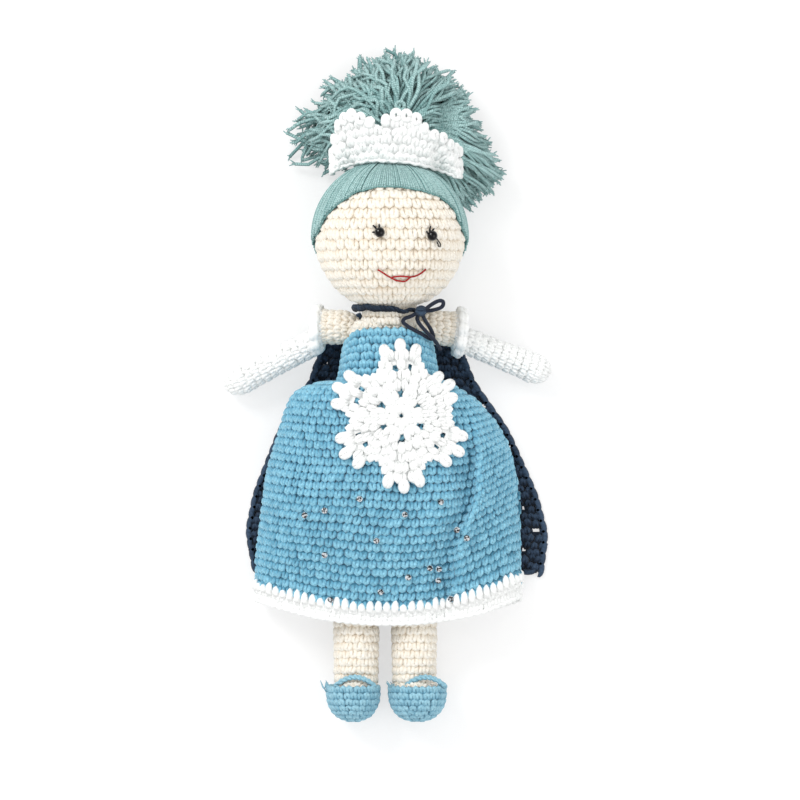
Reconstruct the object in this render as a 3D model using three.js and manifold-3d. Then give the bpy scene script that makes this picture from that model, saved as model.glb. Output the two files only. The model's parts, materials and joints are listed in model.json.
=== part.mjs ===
// A crocheted doll that lies on its back: +Y towards the head, +X to the doll's own left,
// +Z the way its face looks, z = 0 the table. All lengths are in millimetres.
import * as THREE from 'three';
import { mergeVertices } from 'three/addons/utils/BufferGeometryUtils.js';
import Module from 'manifold-3d';

const wasm = await Module();
wasm.setup();

// Clearances and cloth
const gap = 0.35;
const runningGap = 0.6;
const pressedFlat = 0.5;
const skinWall = 2.6;
const dressWall = 2.5;
const skirtWall = 3;

// Head
const headRadius = 37.5;
const headHeight = 39;
const headX = -0.75;
const headRise = 36;
const headFloorRise = 5.3;
const turnAxisHeight = 36;
const chinFlareDegrees = 20;
const hairThickness = 2.1;
const hairlineSlopeDegrees = 40;
const hairlineOffset = 5.5;

// Neck
const neckX = -1;
const neckY = 38;
const neckHeight = 33;
const neckRadius = 15;
const neckTopRise = 5;

// Trunk
const trunkX = -1.5;
const trunkTopY = 34;
const bodiceTopY = 28;
const waistY = 3;
const trunkHalfWidth = 26.5;
const trunkHalfDepth = 20.5;
const trunkHeight = 26;
const hipX = -3;
const hipY = -58;
const hipHeight = 25.5;
const hipHalfWidth = 26.5;
const hipRadius = 19;
const sitCutDegrees = 20;

// Arms
const shoulderSpread = 22;
const shoulderY = 29;
const shoulderHeight = 21;
const upperArmRadius = 8.5;
const cuffAlong = 15;
const elbowAlong = 19.5;
const gloveLength = 45.5;
const gloveRadius = 6.6;
const handRadius = 7.4;
const gloveWall = 2;
const rightArmDrop = 29;
const rightArmReach = 57.75;
const leftArmDrop = 24;
const leftArmReach = 59.75;
const armSink = 13;
const lowerLimitDegrees = 12;
const cuffRadius = 12;
const cuffThickness = 2.4;
const cuffWave = 1;

// Legs and shoes
const legSpread = 14.5;
const legX = -3.1;
const legRadius = 12;
const ankleShare = 0.88;
const heelShare = 0.7;
const legTopY = -64;
const legTopHeight = 20.5;
const ankleY = -147;
const ankleHeight = 16.5;
const spreadLimitDegrees = 10;
const footLength = 30;
const footHalfWidth = 11.2;
const footHalfRise = 9.6;
const shoeWall = 2.2;
const soleY = -168.5;
const strapRadius = 1.5;
const strapReach = 10.8;
const strapSag = 5;

// Skirt
const skirtX = -1;
const skirtLength = 122;
const skirtHalfWidth = 68;
const skirtTopHeight = 50;
const skirtBackHeight = 2.65;
const hemHeight = 7;
const foldDepth = 2.5;
const foldWidth = 5;
const foldX = 32;

// Cape, its collar and the tied cord
const capeX = 2.5;
const capeTopY = 36.5;
const capeLength = 132;
const capeHalfWidth = 75;
const capeThickness = 2.2;
const capeNeckLift = 11.5;
const collarRadius = 1.7;
const collarY = 37;
const knotRadius = 3;
const knotAngleDegrees = 45;
const cordRadius = 1;

// Hair tuft, tie and tiara
const tuftX = 2;
const tuftY = 129;
const tuftHeight = 25;
const tuftReach = 57;
const tuftHalfDepth = 23;
const tuftRootRadius = 9;
const hairTieRadius = 1.3;
const tiaraX = 2.4;
const tiaraRadius = 30.5;
const tiaraBack = 6;
const tiaraBaseRise = 33;
const tiaraTall = 28;
const tiaraThickness = 2.4;

// Small pieces
const eyeRadius = 2.5;
const lashRadius = 0.4;
const mouthRadius = 0.55;
const eyeRise = 2.1;
const eyeSlant = 1;
const rightEyeX = -5;
const leftEyeX = 20.5;
const mouthHalfWidth = 12.25;
const mouthX = 6.5;
const mouthY = -16;
const mouthDrop = 6;
const snowflakeRadius = 38.5;
const snowflakeThickness = 2.4;
const snowflakeLift = 0.9;
const snowflakeX = 6;
const snowflakeY = -15.5;
const snowflakeHoleReach = 9.5;
const snowflakeHoleRadius = 2.2;
const stoneRadius = 1.3;
const stoneHeight = 1.2;

// How finely the round forms are divided
const headSides = 22;
const headSteps = 12;
const aroundSides = 20;
const limbSides = 12;
const poleSteps = 8;
const cordSides = 8;
const threadSides = 6;
const strapSteps = 10;
const lashSteps = 4;
const mouthSteps = 12;
const loopSteps = 18;
const tailSteps = 9;
const weldReach = 1e-4;

const finish = (color, roughness = 0.9) =>
  new THREE.MeshStandardMaterial({ color, roughness, metalness: 0 });
const creamYarn = finish(0xfbeedd);
const whiteYarn = finish(0xfafafa);
const blueYarn = finish(0x5fa8cc);
const shoeYarn = finish(0x6fa9c4);
const navyYarn = finish(0x19233c);
const tealYarn = finish(0x7fb5b5);
const redThread = finish(0xc81e1e);
const blackThread = finish(0x14141a);
const blackBead = finish(0x08080a, 0.1);
const crystal = finish(0xe8eef2, 0.05);
const filling = finish(0xf4f4f0, 1);

const doll = new THREE.Group();
const v = (x, y, z) => new THREE.Vector3(x, y, z);
const radians = THREE.MathUtils.degToRad;
const { lerp } = THREE.MathUtils;

// A value between hand-set pairs of [place, value].
function along(pairs, place) {
  const next = pairs.findIndex(([at]) => at >= place);
  if (next === 0) return pairs[0][1];
  if (next < 0) return pairs[pairs.length - 1][1];
  const [a, from] = pairs[next - 1];
  const [b, to] = pairs[next];
  return lerp(from, to, (place - a) / (b - a));
}

function range(count) {
  return Array.from({ length: count }, (_, i) => i);
}

// Turns the faces outward where a list of rings ran the other way round.
function outward(positions, index) {
  let volume = 0;
  const at = (i) => v(...positions.slice(3 * i, 3 * i + 3));
  for (let i = 0; i < index.length; i += 3) {
    volume += at(index[i]).dot(at(index[i + 1]).cross(at(index[i + 2])));
  }
  if (volume < 0) index.reverse();
  const geometry = new THREE.BufferGeometry();
  geometry.setAttribute('position', new THREE.Float32BufferAttribute(positions, 3));
  geometry.setIndex(index);
  return geometry;
}

// A skin over rings of points. Its two ends close on their centres, or on each other.
function loft(rings, closedLoop = false) {
  const sides = rings[0].length;
  const positions = rings.flat().flatMap((p) => [p.x, p.y, p.z]);
  const index = [];
  const spans = closedLoop ? rings.length : rings.length - 1;
  for (let r = 0; r < spans; r += 1) {
    const low = r * sides;
    const high = ((r + 1) % rings.length) * sides;
    for (let s = 0; s < sides; s += 1) {
      const t = (s + 1) % sides;
      index.push(low + s, low + t, high + t, low + s, high + t, high + s);
    }
  }
  if (!closedLoop) {
    [0, rings.length - 1].forEach((r) => {
      const middle = rings[r].reduce((sum, p) => sum.add(p), v(0, 0, 0)).divideScalar(sides);
      const centre = positions.length / 3;
      positions.push(middle.x, middle.y, middle.z);
      for (let s = 0; s < sides; s += 1) {
        const a = r * sides + s;
        const b = r * sides + ((s + 1) % sides);
        index.push(...(r === 0 ? [centre, b, a] : [centre, a, b]));
      }
    });
  }
  return outward(positions, index);
}

// A slab between a lower and an upper sheet, both given over a grid.
function slab(across, down, lower, upper) {
  const positions = [];
  const index = [];
  const width = across + 1;
  const layer = width * (down + 1);
  [lower, upper].forEach((sheet) => {
    for (let d = 0; d <= down; d += 1) {
      for (let a = 0; a <= across; a += 1) positions.push(...sheet(a / across, d / down).toArray());
    }
  });
  const quad = (a, b, c, d) => index.push(a, b, c, a, c, d);
  for (let d = 0; d < down; d += 1) {
    for (let a = 0; a < across; a += 1) {
      const i = d * width + a;
      quad(i, i + 1, i + width + 1, i + width);
      quad(layer + i, layer + i + width, layer + i + width + 1, layer + i + 1);
    }
  }
  for (let a = 0; a < across; a += 1) {
    const last = down * width + a;
    quad(a, layer + a, layer + a + 1, a + 1);
    quad(last, last + 1, layer + last + 1, layer + last);
  }
  for (let d = 0; d < down; d += 1) {
    const left = d * width;
    const right = left + across;
    quad(left, left + width, layer + left + width, layer + left);
    quad(right, layer + right, layer + right + width, right + width);
  }
  return outward(positions, index);
}

// A round form along local X, from pairs of [distance along, radius].
function turned(profile, sides = limbSides) {
  return loft(profile.map(([at, radius]) => range(sides).map((i) => {
    const angle = (2 * Math.PI * i) / sides;
    return v(at, radius * Math.cos(angle), radius * Math.sin(angle));
  })));
}

// The rounded end of a limb: pairs from the tip to the full radius.
function roundEnd(centre, radius, direction) {
  return [0.2, 0.5, 0.77, 1].map((endShare) => {
    const angle = (endShare * Math.PI) / 2;
    return [centre + direction * radius * Math.cos(angle), radius * Math.sin(angle)];
  });
}

function ball(centre, radiusX, radiusY, radiusZ, wide = aroundSides, high = poleSteps) {
  return new THREE.SphereGeometry(1, wide, high)
    .rotateZ(Math.PI / 2)
    .scale(radiusX, radiusY, radiusZ)
    .translate(centre.x, centre.y, centre.z);
}

function solidOf(geometry) {
  const bare = geometry.clone();
  ['normal', 'uv'].forEach((name) => bare.deleteAttribute(name));
  const merged = mergeVertices(bare, weldReach);
  return new wasm.Manifold(new wasm.Mesh({
    numProp: 3,
    vertProperties: new Float32Array(merged.attributes.position.array),
    triVerts: new Uint32Array(merged.index.array),
  }));
}

function geometryOf(solid) {
  const mesh = solid.getMesh();
  const geometry = new THREE.BufferGeometry();
  geometry.setAttribute('position', new THREE.Float32BufferAttribute(mesh.vertProperties, 3));
  geometry.setIndex(Array.from(mesh.triVerts));
  return geometry;
}

// What is left of a form once its cutters are taken away, without the scraps that fall off.
function cut(geometry, ...cutters) {
  const rest = cutters.reduce((left, cutter) => left.subtract(solidOf(cutter)), solidOf(geometry));
  const bodies = rest.decompose().sort((a, b) => b.volume() - a.volume());
  return geometryOf(bodies[0]);
}

function joined(first, ...others) {
  return geometryOf(others.reduce((sum, other) => sum.add(solidOf(other)), solidOf(first)));
}

function add(name, geometry, material, parent = doll) {
  const mesh = new THREE.Mesh(geometry, material);
  mesh.name = name;
  parent.add(mesh);
  return mesh;
}

// A block that fills everything on one side of a plane, for trimming.
function halfSpace(point, normal) {
  const size = 4 * skirtLength;
  return new THREE.BoxGeometry(size, size, size)
    .translate(0, 0, size / 2)
    .applyQuaternion(new THREE.Quaternion().setFromUnitVectors(v(0, 0, 1), normal.clone().normalize()))
    .translate(point.x, point.y, point.z);
}

function cylinderAlong(from, to, radius, sides = limbSides) {
  const axis = to.clone().sub(from);
  return new THREE.CylinderGeometry(radius, radius, axis.length(), sides)
    .applyQuaternion(new THREE.Quaternion().setFromUnitVectors(v(0, 1, 0), axis.clone().normalize()))
    .translate((from.x + to.x) / 2, (from.y + to.y) / 2, (from.z + to.z) / 2);
}

// A cord of round section along a smooth curve through its points.
function cord(points, radius, steps, sides = cordSides) {
  const section = new THREE.Shape(range(sides).map((i) => {
    const angle = (2 * Math.PI * i) / sides;
    return new THREE.Vector2(radius * Math.cos(angle), radius * Math.sin(angle));
  }));
  const extrudePath = new THREE.CatmullRomCurve3(points);
  return new THREE.ExtrudeGeometry(section, { steps, extrudePath });
}

// Turns a geometry about an axis through a pivot, as a joint does.
function swung(geometry, pivot, axis, degrees) {
  return geometry.clone()
    .translate(-pivot.x, -pivot.y, -pivot.z)
    .applyQuaternion(new THREE.Quaternion().setFromAxisAngle(axis, radians(degrees)))
    .translate(pivot.x, pivot.y, pivot.z);
}

// Trunk: a stuffed crocheted body whose sections are given at shares of its length.
const trunkLength = trunkTopY - hipY;
const trunkWidthShares = [
  [0, 0.45], [0.03, 0.66], [0.08, 0.74], [0.2, 0.79], [0.34, 0.86], [0.6, 0.95], [0.82, 1], [1.2, 1],
];
const trunkDepthShares = [
  [0, 0.5], [0.03, 0.74], [0.08, 0.86], [0.2, 0.95], [0.34, 1], [0.82, 1], [1, 0.95], [1.2, 0.9],
];
const trunkLiftShares = [[0, 0.2], [0.08, 0.06], [0.2, 0.01], [0.34, 0], [1.2, 0]];

function trunkRing(y, grow = 0) {
  const place = (trunkTopY - y) / trunkLength;
  const halfWidth = trunkHalfWidth * along(trunkWidthShares, place) + grow;
  const halfDepth = trunkHalfDepth * along(trunkDepthShares, place) + grow;
  const height = trunkHeight * (1 + along(trunkLiftShares, place));
  return range(aroundSides).map((i) => {
    const angle = (2 * Math.PI * i) / aroundSides;
    return v(trunkX + halfWidth * Math.cos(angle), y, height + halfDepth * Math.sin(angle));
  });
}

const trunkStationShares = [0, 0.03, 0.08, 0.2, 0.34, 0.6, 0.82, 1, 1.2];
const trunkStations = trunkStationShares.map((share) => trunkTopY - share * trunkLength);
const trunkForm = loft(trunkStations.map((y) => trunkRing(y)));

const neckPivot = v(neckX, neckY, neckHeight);
const hipPivot = v(hipX, hipY, hipHeight);
const neckBall = (grow) => ball(neckPivot, neckRadius + grow, neckRadius + grow, neckRadius + grow);
const hipBall = (grow) => ball(hipPivot, hipHalfWidth + grow, hipRadius + grow, hipRadius + grow);

// Arms: local X runs from the shoulder to the hand, and each group stands at its shoulder.
const upperArmProfile = (grow) => [
  ...roundEnd(0, upperArmRadius + grow, -1),
  [cuffAlong + grow, 0.92 * upperArmRadius + grow],
];
const handAlong = elbowAlong + gloveLength - handRadius;
const gloveProfile = (grow) => [
  ...roundEnd(elbowAlong, gloveRadius + grow, -1),
  [lerp(elbowAlong, handAlong, 0.35), gloveRadius + grow],
  [lerp(elbowAlong, handAlong, 0.72), gloveRadius + grow],
  ...roundEnd(handAlong, handRadius + grow, 1).reverse(),
];
const shoulderPivot = (side) => v(trunkX + side * shoulderSpread, shoulderY, shoulderHeight);
const armDirections = {
  right: v(-rightArmReach, -rightArmDrop, -armSink).normalize(),
  left: v(leftArmReach, -leftArmDrop, -armSink).normalize(),
};
const sides = { right: -1, left: 1 };

function armMatrix(name) {
  const turn = new THREE.Quaternion().setFromUnitVectors(v(1, 0, 0), armDirections[name]);
  return new THREE.Matrix4().compose(shoulderPivot(sides[name]), turn, v(1, 1, 1));
}

function cuffForm() {
  const sections = 3 * cordSides;
  const rings = range(sections).map((i) => {
    const angle = (2 * Math.PI * i) / sections;
    const wave = cuffWave * Math.cos(cordSides * angle);
    const inner = upperArmRadius + gap;
    const outer = cuffRadius + wave;
    const lean = wave / 2;
    return [[inner, 0], [outer, lean], [outer, lean + cuffThickness], [inner, cuffThickness]].map(
      ([radius, at]) => v(cuffAlong - cuffThickness + at, radius * Math.cos(angle), radius * Math.sin(angle)),
    );
  });
  return loft(rings, true);
}

// The shoulder's ball, and the arm at rest and at its lowest, trim the trunk and the dress.
const shoulderRooms = ['right', 'left'].map((name) => {
  const radius = upperArmRadius + runningGap;
  return ball(shoulderPivot(sides[name]), radius, radius, radius);
});
const loweredArms = ['right', 'left'].flatMap((name) => [0, 1].map((share) => {
  const arm = turned(upperArmProfile(runningGap), limbSides).applyMatrix4(armMatrix(name));
  return swung(arm, shoulderPivot(sides[name]), v(0, 0, 1), -sides[name] * share * lowerLimitDegrees);
}));

// Legs: two stuffed tubes that end in feet, from the hips to the shoes.
const legPivot = (side) => v(legX + side * legSpread, legTopY, legTopHeight);
const ankle = (side) => v(legX + side * legSpread, ankleY, ankleHeight);
const footHeight = footLength / 2 + shoeWall;
const footCentre = (side) => v(legX + side * legSpread, soleY + shoeWall + footHalfRise, footHeight);

function legForm(side, grow) {
  const from = legPivot(side);
  const to = ankle(side);
  const length = from.distanceTo(to);
  const waists = [[0.4, 0.97], [0.8, 0.95]];
  const radius = legRadius + grow;
  const profile = [
    ...roundEnd(0, radius, -1),
    ...waists.map(([share, widthShare]) => [share * length, legRadius * widthShare + grow]),
    [length, legRadius * ankleShare + grow],
    [length + footHalfRise, legRadius * heelShare + grow],
  ];
  const turn = new THREE.Quaternion().setFromUnitVectors(v(1, 0, 0), to.clone().sub(from).normalize());
  return turned(profile).applyQuaternion(turn).translate(from.x, from.y, from.z);
}

function footForm(side, grow) {
  const reach = [footHalfWidth + grow, footHalfRise + grow, footLength / 2 + grow];
  return ball(footCentre(side), ...reach, limbSides, poleSteps);
}

const legWithFoot = (side, grow) => joined(legForm(side, grow), footForm(side, grow));

// The filling goes in through the leg's open top, before the leg is sewn to the hips.
function legOpening(side) {
  const top = legPivot(side);
  return cylinderAlong(top, v(top.x, top.y + 2 * legRadius, top.z), legRadius * 0.4, cordSides);
}

// The hips turn in a cup under the belly. The trunk ends at a slanted cut, so the legs can lift.
const sitCut = halfSpace(
  hipPivot,
  v(0, -Math.cos(radians(sitCutDegrees)), Math.sin(radians(sitCutDegrees))),
);
const trunkCavity = loft([0.2, 0.34, 0.6, 0.9].map((share) =>
  trunkRing(trunkTopY - share * trunkLength, -skinWall)));
// A hollow for each leg's round top, open below so that the legs can also swing apart.
const legRooms = [
  ...[-1, 1].map((side) => {
    const radius = legRadius + runningGap;
    return ball(legPivot(side), radius, radius, radius, limbSides, poleSteps);
  }),
  halfSpace(v(0, legTopY + legRadius * Math.sin(radians(spreadLimitDegrees)) + runningGap, 0), v(0, -1, 0)),
];
const trunkOpening = cylinderAlong(
  v(trunkX, trunkTopY, neckHeight),
  v(trunkX, trunkTopY - 0.25 * trunkLength, trunkHeight),
  neckRadius / 2,
);
const limbRooms = [neckBall(runningGap), hipBall(runningGap), ...shoulderRooms, ...legRooms];
add('torso_skin', cut(trunkForm, sitCut, ...limbRooms, trunkCavity, trunkOpening), creamYarn);
const fillingForm = loft([0.2, 0.34, 0.6, 0.85].map((share, i) => {
  const end = i === 0 ? -gap : 0;
  return trunkRing(trunkTopY - share * trunkLength + end, -skinWall - gap);
}));
add('body_stuffing', cut(fillingForm, sitCut, ...limbRooms), filling);

// Hips, with a socket for the round top of each leg.
add('hips', cut(hipBall(0), ...legRooms), creamYarn);

['right', 'left'].forEach((name) => {
  const side = sides[name];
  const arm = new THREE.Group();
  arm.applyMatrix4(armMatrix(name));
  doll.add(arm);
  const socketRadius = gloveRadius + runningGap;
  const socket = ball(v(elbowAlong, 0, 0), socketRadius, socketRadius, socketRadius);
  add(`upper_arm_${name}`, cut(turned(upperArmProfile(0)), socket), creamYarn, arm);
  const gloveRoom = turned(gloveProfile(-gloveWall));
  const gloveOpening = cylinderAlong(v(0, 0, 0), v(elbowAlong, 0, 0), gloveRadius * 0.45, cordSides);
  add(`glove_${name}`, cut(turned(gloveProfile(0)), gloveRoom, gloveOpening), whiteYarn, arm);
  add(`glove_stuffing_${name}`, turned(gloveProfile(-gloveWall - gap)), filling, arm);
  add(`glove_cuff_${name}`, cuffForm(), whiteYarn, arm);

  add(
    `leg_${name}`,
    cut(legWithFoot(side, 0), legForm(side, -skinWall), legOpening(side)),
    creamYarn,
  );
  add(`leg_stuffing_${name}`, legForm(side, -skinWall - gap), filling);
  const foot = footCentre(side);
  const shoeOuter = ball(
    foot,
    footHalfWidth + gap + shoeWall,
    footHalfRise + gap + shoeWall,
    footLength / 2 + gap + shoeWall,
    limbSides,
    poleSteps,
  );
  const instep = cylinderAlong(
    v(foot.x, foot.y + footHalfRise * 0.45, foot.z + footLength * 0.12),
    v(foot.x, foot.y + 3 * footHalfRise, foot.z + footLength * 0.12),
    footHalfWidth * 0.85,
  );
  const table = halfSpace(v(0, 0, 0), v(0, 0, -1));
  add(`shoe_${name}`, cut(shoeOuter, legWithFoot(side, gap), instep, table), shoeYarn);
  const strapHeight = ankleHeight + legRadius * ankleShare + gap + strapRadius;
  const strapTop = v(foot.x, ankleY + strapRadius / 2, strapHeight);
  const strapPoints = [-1, -0.66, -0.33, 0, 0.33, 0.66, 1].map((share) => {
    const sag = strapSag * share * share;
    return v(strapTop.x + strapReach * share, strapTop.y - sag, strapTop.z - sag);
  });
  add(
    `shoe_strap_${name}`,
    cut(cord(strapPoints, strapRadius, strapSteps, threadSides), legWithFoot(side, gap), ball(
      foot,
      footHalfWidth + 2 * gap + shoeWall,
      footHalfRise + 2 * gap + shoeWall,
      footLength / 2 + 2 * gap + shoeWall,
      limbSides,
      poleSteps,
    )),
    shoeYarn,
  );
});

// Neck: a ball in the shoulders' hollow, with a flat top under the head.
add('neck', cut(neckBall(0), halfSpace(v(0, neckY + neckTopRise, 0), v(0, 1, 0))), creamYarn);

// Head and what is sewn to it, in a group at the head's centre.
const head = new THREE.Group();
head.position.set(headX, neckY + headRise, headHeight);
doll.add(head);
const headFloor = headFloorRise - headRise;
const axisDrop = turnAxisHeight - headHeight;
const table = halfSpace(v(0, 0, pressedFlat - headHeight), v(0, 0, -1));
const belowHead = halfSpace(v(0, headFloor, 0), v(0, -1, 0));
// The underside flares up from the neck, so the head can nod and turn over the collar.
const flareRise = headRadius * Math.tan(radians(chinFlareDegrees));
const flareDisc = (topRadius, footRadius) =>
  new THREE.CylinderGeometry(topRadius, footRadius, flareRise, headSides, 1)
    .translate(0, headFloor + flareRise / 2, axisDrop);
const chinFlare = cut(
  flareDisc(3 * headRadius, 3 * headRadius),
  flareDisc(neckRadius + headRadius, neckRadius),
);
const headBall = (radius) => new THREE.SphereGeometry(radius, headSides, headSteps);
// The bead eyes are sewn down into the face.
const faceAt = (x, y, out) => {
  const reach = headRadius + out;
  return v(x, y, Math.sqrt(reach * reach - x * x - y * y));
};
const eyes = { right: [rightEyeX, eyeRise], left: [leftEyeX, eyeRise - eyeSlant] };
function eyeBead(x, y, grow) {
  const radius = eyeRadius + grow;
  return ball(faceAt(x, y, eyeRadius / 3), radius, radius, radius, 10, 8);
}
const eyeHollows = Object.values(eyes).map(([x, y]) => eyeBead(x, y, gap));
const headRoom = headBall(headRadius - skinWall);
add('head_skin', cut(headBall(headRadius), headRoom, belowHead, chinFlare, ...eyeHollows), creamYarn, head);
add('head_stuffing', cut(headBall(headRadius - skinWall - gap), belowHead, ...eyeHollows), filling, head);

// Hair: strands over the crown and the back of the head, up to a plane hairline.
const hairline = radians(hairlineSlopeDegrees);
const hairNormal = v(0, -Math.sin(hairline), Math.cos(hairline));
const face = halfSpace(hairNormal.clone().multiplyScalar(hairlineOffset), hairNormal);
const hairRadius = headRadius + gap + hairThickness;
const hairForm = cut(headBall(hairRadius), headBall(headRadius + gap), face, belowHead, chinFlare, table);
add('hair_cap', hairForm, tealYarn, head);

// Tiara: an upright crocheted band on the crown, with three scalloped peaks.
const tiaraTopShares = [
  [-1, 0.36], [-0.85, 0.66], [-0.66, 1], [-0.55, 0.98], [-0.36, 0.78], [-0.22, 0.8], [-0.06, 1.02],
  [0.1, 1.04], [0.34, 0.68], [0.46, 0.66], [0.56, 0.72], [0.7, 0.64], [0.86, 0.52], [1, 0.38],
];
const tiaraFootShares = [[-1, 0], [-0.5, 0.14], [0, 0.16], [0.5, 0.1], [1, 0]];
function tiaraPoint(across, up, out, grow) {
  const share = lerp(-1, 1, across);
  const angle = (share * Math.PI) / 2 + (share * grow) / tiaraRadius;
  const foot = tiaraBaseRise + tiaraTall * along(tiaraFootShares, share) / 2 - grow;
  const top = tiaraBaseRise + tiaraTall * along(tiaraTopShares, share) + grow;
  const radius = tiaraRadius + out;
  return v(
    tiaraX - headX + radius * Math.sin(angle),
    lerp(top, foot, up),
    radius * Math.cos(angle) * 0.85 - tiaraBack,
  );
}
const tiaraForm = (grow) => slab(
  26,
  3,
  (a, d) => tiaraPoint(a, d, -grow, grow),
  (a, d) => tiaraPoint(a, d, tiaraThickness + grow, grow),
);
const hairSphere = headBall(hairRadius + gap);
add('tiara', cut(tiaraForm(0), hairSphere), whiteYarn, head);

// Hair tuft: the outer shape of a mop of cut yarn, tied at its root on the crown.
const tuftReachShares = [
  0.77, 0.72, 0.7, 0.7, 0.7, 0.7, 0.72, 0.84, 0.97, 0.88, 0.55, 0.4, 0.4, 0.6, 0.96, 1.03,
];
const tuftCentre = v(tuftX - headX, tuftY - neckY - headRise, tuftHeight - headHeight);
const tuftAt = (turn, lift) => {
  const places = tuftReachShares.length;
  const place = (turn / (2 * Math.PI)) * places;
  const low = Math.floor(place) % places;
  const reach = tuftReach * lerp(tuftReachShares[low], tuftReachShares[(low + 1) % places], place % 1);
  return v(
    tuftCentre.x + reach * Math.cos(lift) * Math.cos(turn),
    tuftCentre.y + reach * Math.cos(lift) * Math.sin(turn),
    tuftCentre.z + tuftHalfDepth * Math.sin(lift),
  );
};
const tuftLifts = [-80, -58, -36, -14, 8, 32, 56, 80].map(radians);
const tuftForm = loft(tuftLifts.map((lift) =>
  range(aroundSides).map((i) => tuftAt((2 * Math.PI * i) / aroundSides, lift))));
const hairTieY = hairRadius + gap + hairTieRadius;
const hairTieZ = tuftCentre.z + tuftHalfDepth / 2;
const hairTieRings = range(limbSides).map((i) => {
  const turn = (2 * Math.PI * i) / limbSides;
  return range(6).map((j) => {
    const angle = (2 * Math.PI * j) / 6;
    const radius = tuftRootRadius + gap + hairTieRadius * (1 + Math.cos(angle));
    const y = hairTieY + hairTieRadius * Math.sin(angle);
    return v(radius * Math.cos(turn), y, hairTieZ + radius * Math.sin(turn));
  });
});
const tieRoom = cylinderAlong(
  v(0, 0, hairTieZ),
  v(0, hairTieY + hairTieRadius + gap, hairTieZ),
  tuftRootRadius + 2 * gap + 3 * hairTieRadius,
  aroundSides,
);
const tuftRootTop = v(0, hairTieY + 4 * hairTieRadius, hairTieZ);
const tuftRoot = cylinderAlong(v(0, 0, hairTieZ), tuftRootTop, tuftRootRadius);
const tiaraRoom = tiaraForm(2 * gap);
add('hair_tuft', cut(joined(cut(tuftForm, tieRoom), tuftRoot), hairSphere, tiaraRoom), tealYarn, head);
add('hair_tie', cut(loft(hairTieRings, true), hairSphere, tiaraRoom), tealYarn, head);

// Face: bead eyes, stitched lashes and a mouth of red thread, laid on the head's surface.
Object.entries(eyes).forEach(([name, [x, y]]) => {
  add(`eye_${name}`, eyeBead(x, y, 0), blackBead, head);
  const lashShares = [[-1.1, 0.7], [-1.7, 1.2], [-2.2, 1.5]];
  const lash = lashShares.map(([acrossShare, upShare]) =>
    faceAt(x + acrossShare * eyeRadius, y + upShare * eyeRadius, lashRadius + gap));
  add(`eyelashes_${name}`, cord(lash, lashRadius, lashSteps, threadSides), blackThread, head);
});
const mouthShares = [[-1, 0], [-0.6, 0.5], [-0.2, 0.9], [0.2, 0.95], [0.6, 0.6], [1, 0]];
const mouth = mouthShares.map(([acrossShare, dropShare]) =>
  faceAt(mouthX + acrossShare * mouthHalfWidth, mouthY - dropShare * mouthDrop, mouthRadius + gap));
add('mouth_thread', cord(mouth, mouthRadius, mouthSteps, threadSides), redThread, head);

// Bodice: a tube of cloth round the chest, from under the arms to the waist.
const bodiceFoot = waistY + gap;
const bodiceY = [bodiceTopY, ...trunkStations.filter((y) => y < bodiceTopY && y > bodiceFoot), bodiceFoot];
const bodiceForm = loft([
  ...bodiceY.map((y) => trunkRing(y, gap + dressWall)),
  ...[...bodiceY].reverse().map((y) => trunkRing(y, gap)),
], true);
add('dress_bodice', cut(bodiceForm, ...shoulderRooms, ...loweredArms), blueYarn);

// Skirt: half-widths, top and side heights at shares of its length below the waist.
const skirtRightShares = [
  [0, 0.38], [0.02, 0.6], [0.05, 0.7], [0.1, 0.75], [0.23, 0.83],
  [0.39, 0.915], [0.57, 0.955], [0.73, 0.99], [1, 1],
];
const skirtLeftShares = [
  [0, 0.38], [0.04, 0.5], [0.086, 0.64], [0.2, 0.79], [0.33, 0.885],
  [0.49, 0.94], [0.66, 0.96], [0.83, 0.97], [1, 0.99],
];
const skirtTopShares = [[0, 0.99], [0.1, 1.02], [0.3, 1], [0.52, 0.97], [0.66, 0.9], [0.82, 0.77], [1, 0.71]];
const skirtEdgeShares = [[0, 0.52], [0.06, 0.46], [0.14, 0.36], [0.3, 0.26], [0.6, 0.21], [1, 0.19]];
const sideShorter = 0.1;

function skirtHeights(y) {
  const down = (waistY - y) / skirtLength;
  return {
    down,
    right: skirtHalfWidth * along(skirtRightShares, down),
    left: skirtHalfWidth * along(skirtLeftShares, down),
    top: skirtTopHeight * along(skirtTopShares, down),
    edge: skirtTopHeight * along(skirtEdgeShares, down),
  };
}

// One deep fold runs down the left side, and a few shallow ones cross the rest.
function skirtFold(x, y, across) {
  const { down } = skirtHeights(y);
  const valley = (x - (foldX - foldWidth * down)) / foldWidth;
  const ripple = Math.cos((3 * Math.PI * x) / skirtHalfWidth + down) * Math.min(down, 1);
  const fade = Math.min(1, 4 * down) * (1 - across ** 4);
  return fade * foldDepth * (0.4 * ripple - Math.exp(-valley * valley) + 0.4);
}

function skirtFront(x, y) {
  const at = skirtHeights(y);
  const across = Math.min(1, Math.abs(x - skirtX) / (x < skirtX ? at.right : at.left));
  return at.edge + (at.top - at.edge) * (1 - across ** 3) ** 0.6 + skirtFold(x, y, across);
}

function skirtPoint(angle, share) {
  const c = Math.cos(angle);
  const y = waistY - skirtLength * share * (1 - sideShorter * c * c);
  const at = skirtHeights(y);
  const x = skirtX + c * (c < 0 ? at.right : at.left);
  const back = at.edge - (at.edge - skirtBackHeight) * Math.sqrt(1 - c ** 4);
  return v(x, y, Math.sin(angle) >= 0 ? skirtFront(x, y) : back);
}

const skirtSides = 32;
function skirtRing(share) {
  return range(skirtSides).map((i) => skirtPoint((2 * Math.PI * i) / skirtSides, share));
}

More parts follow.
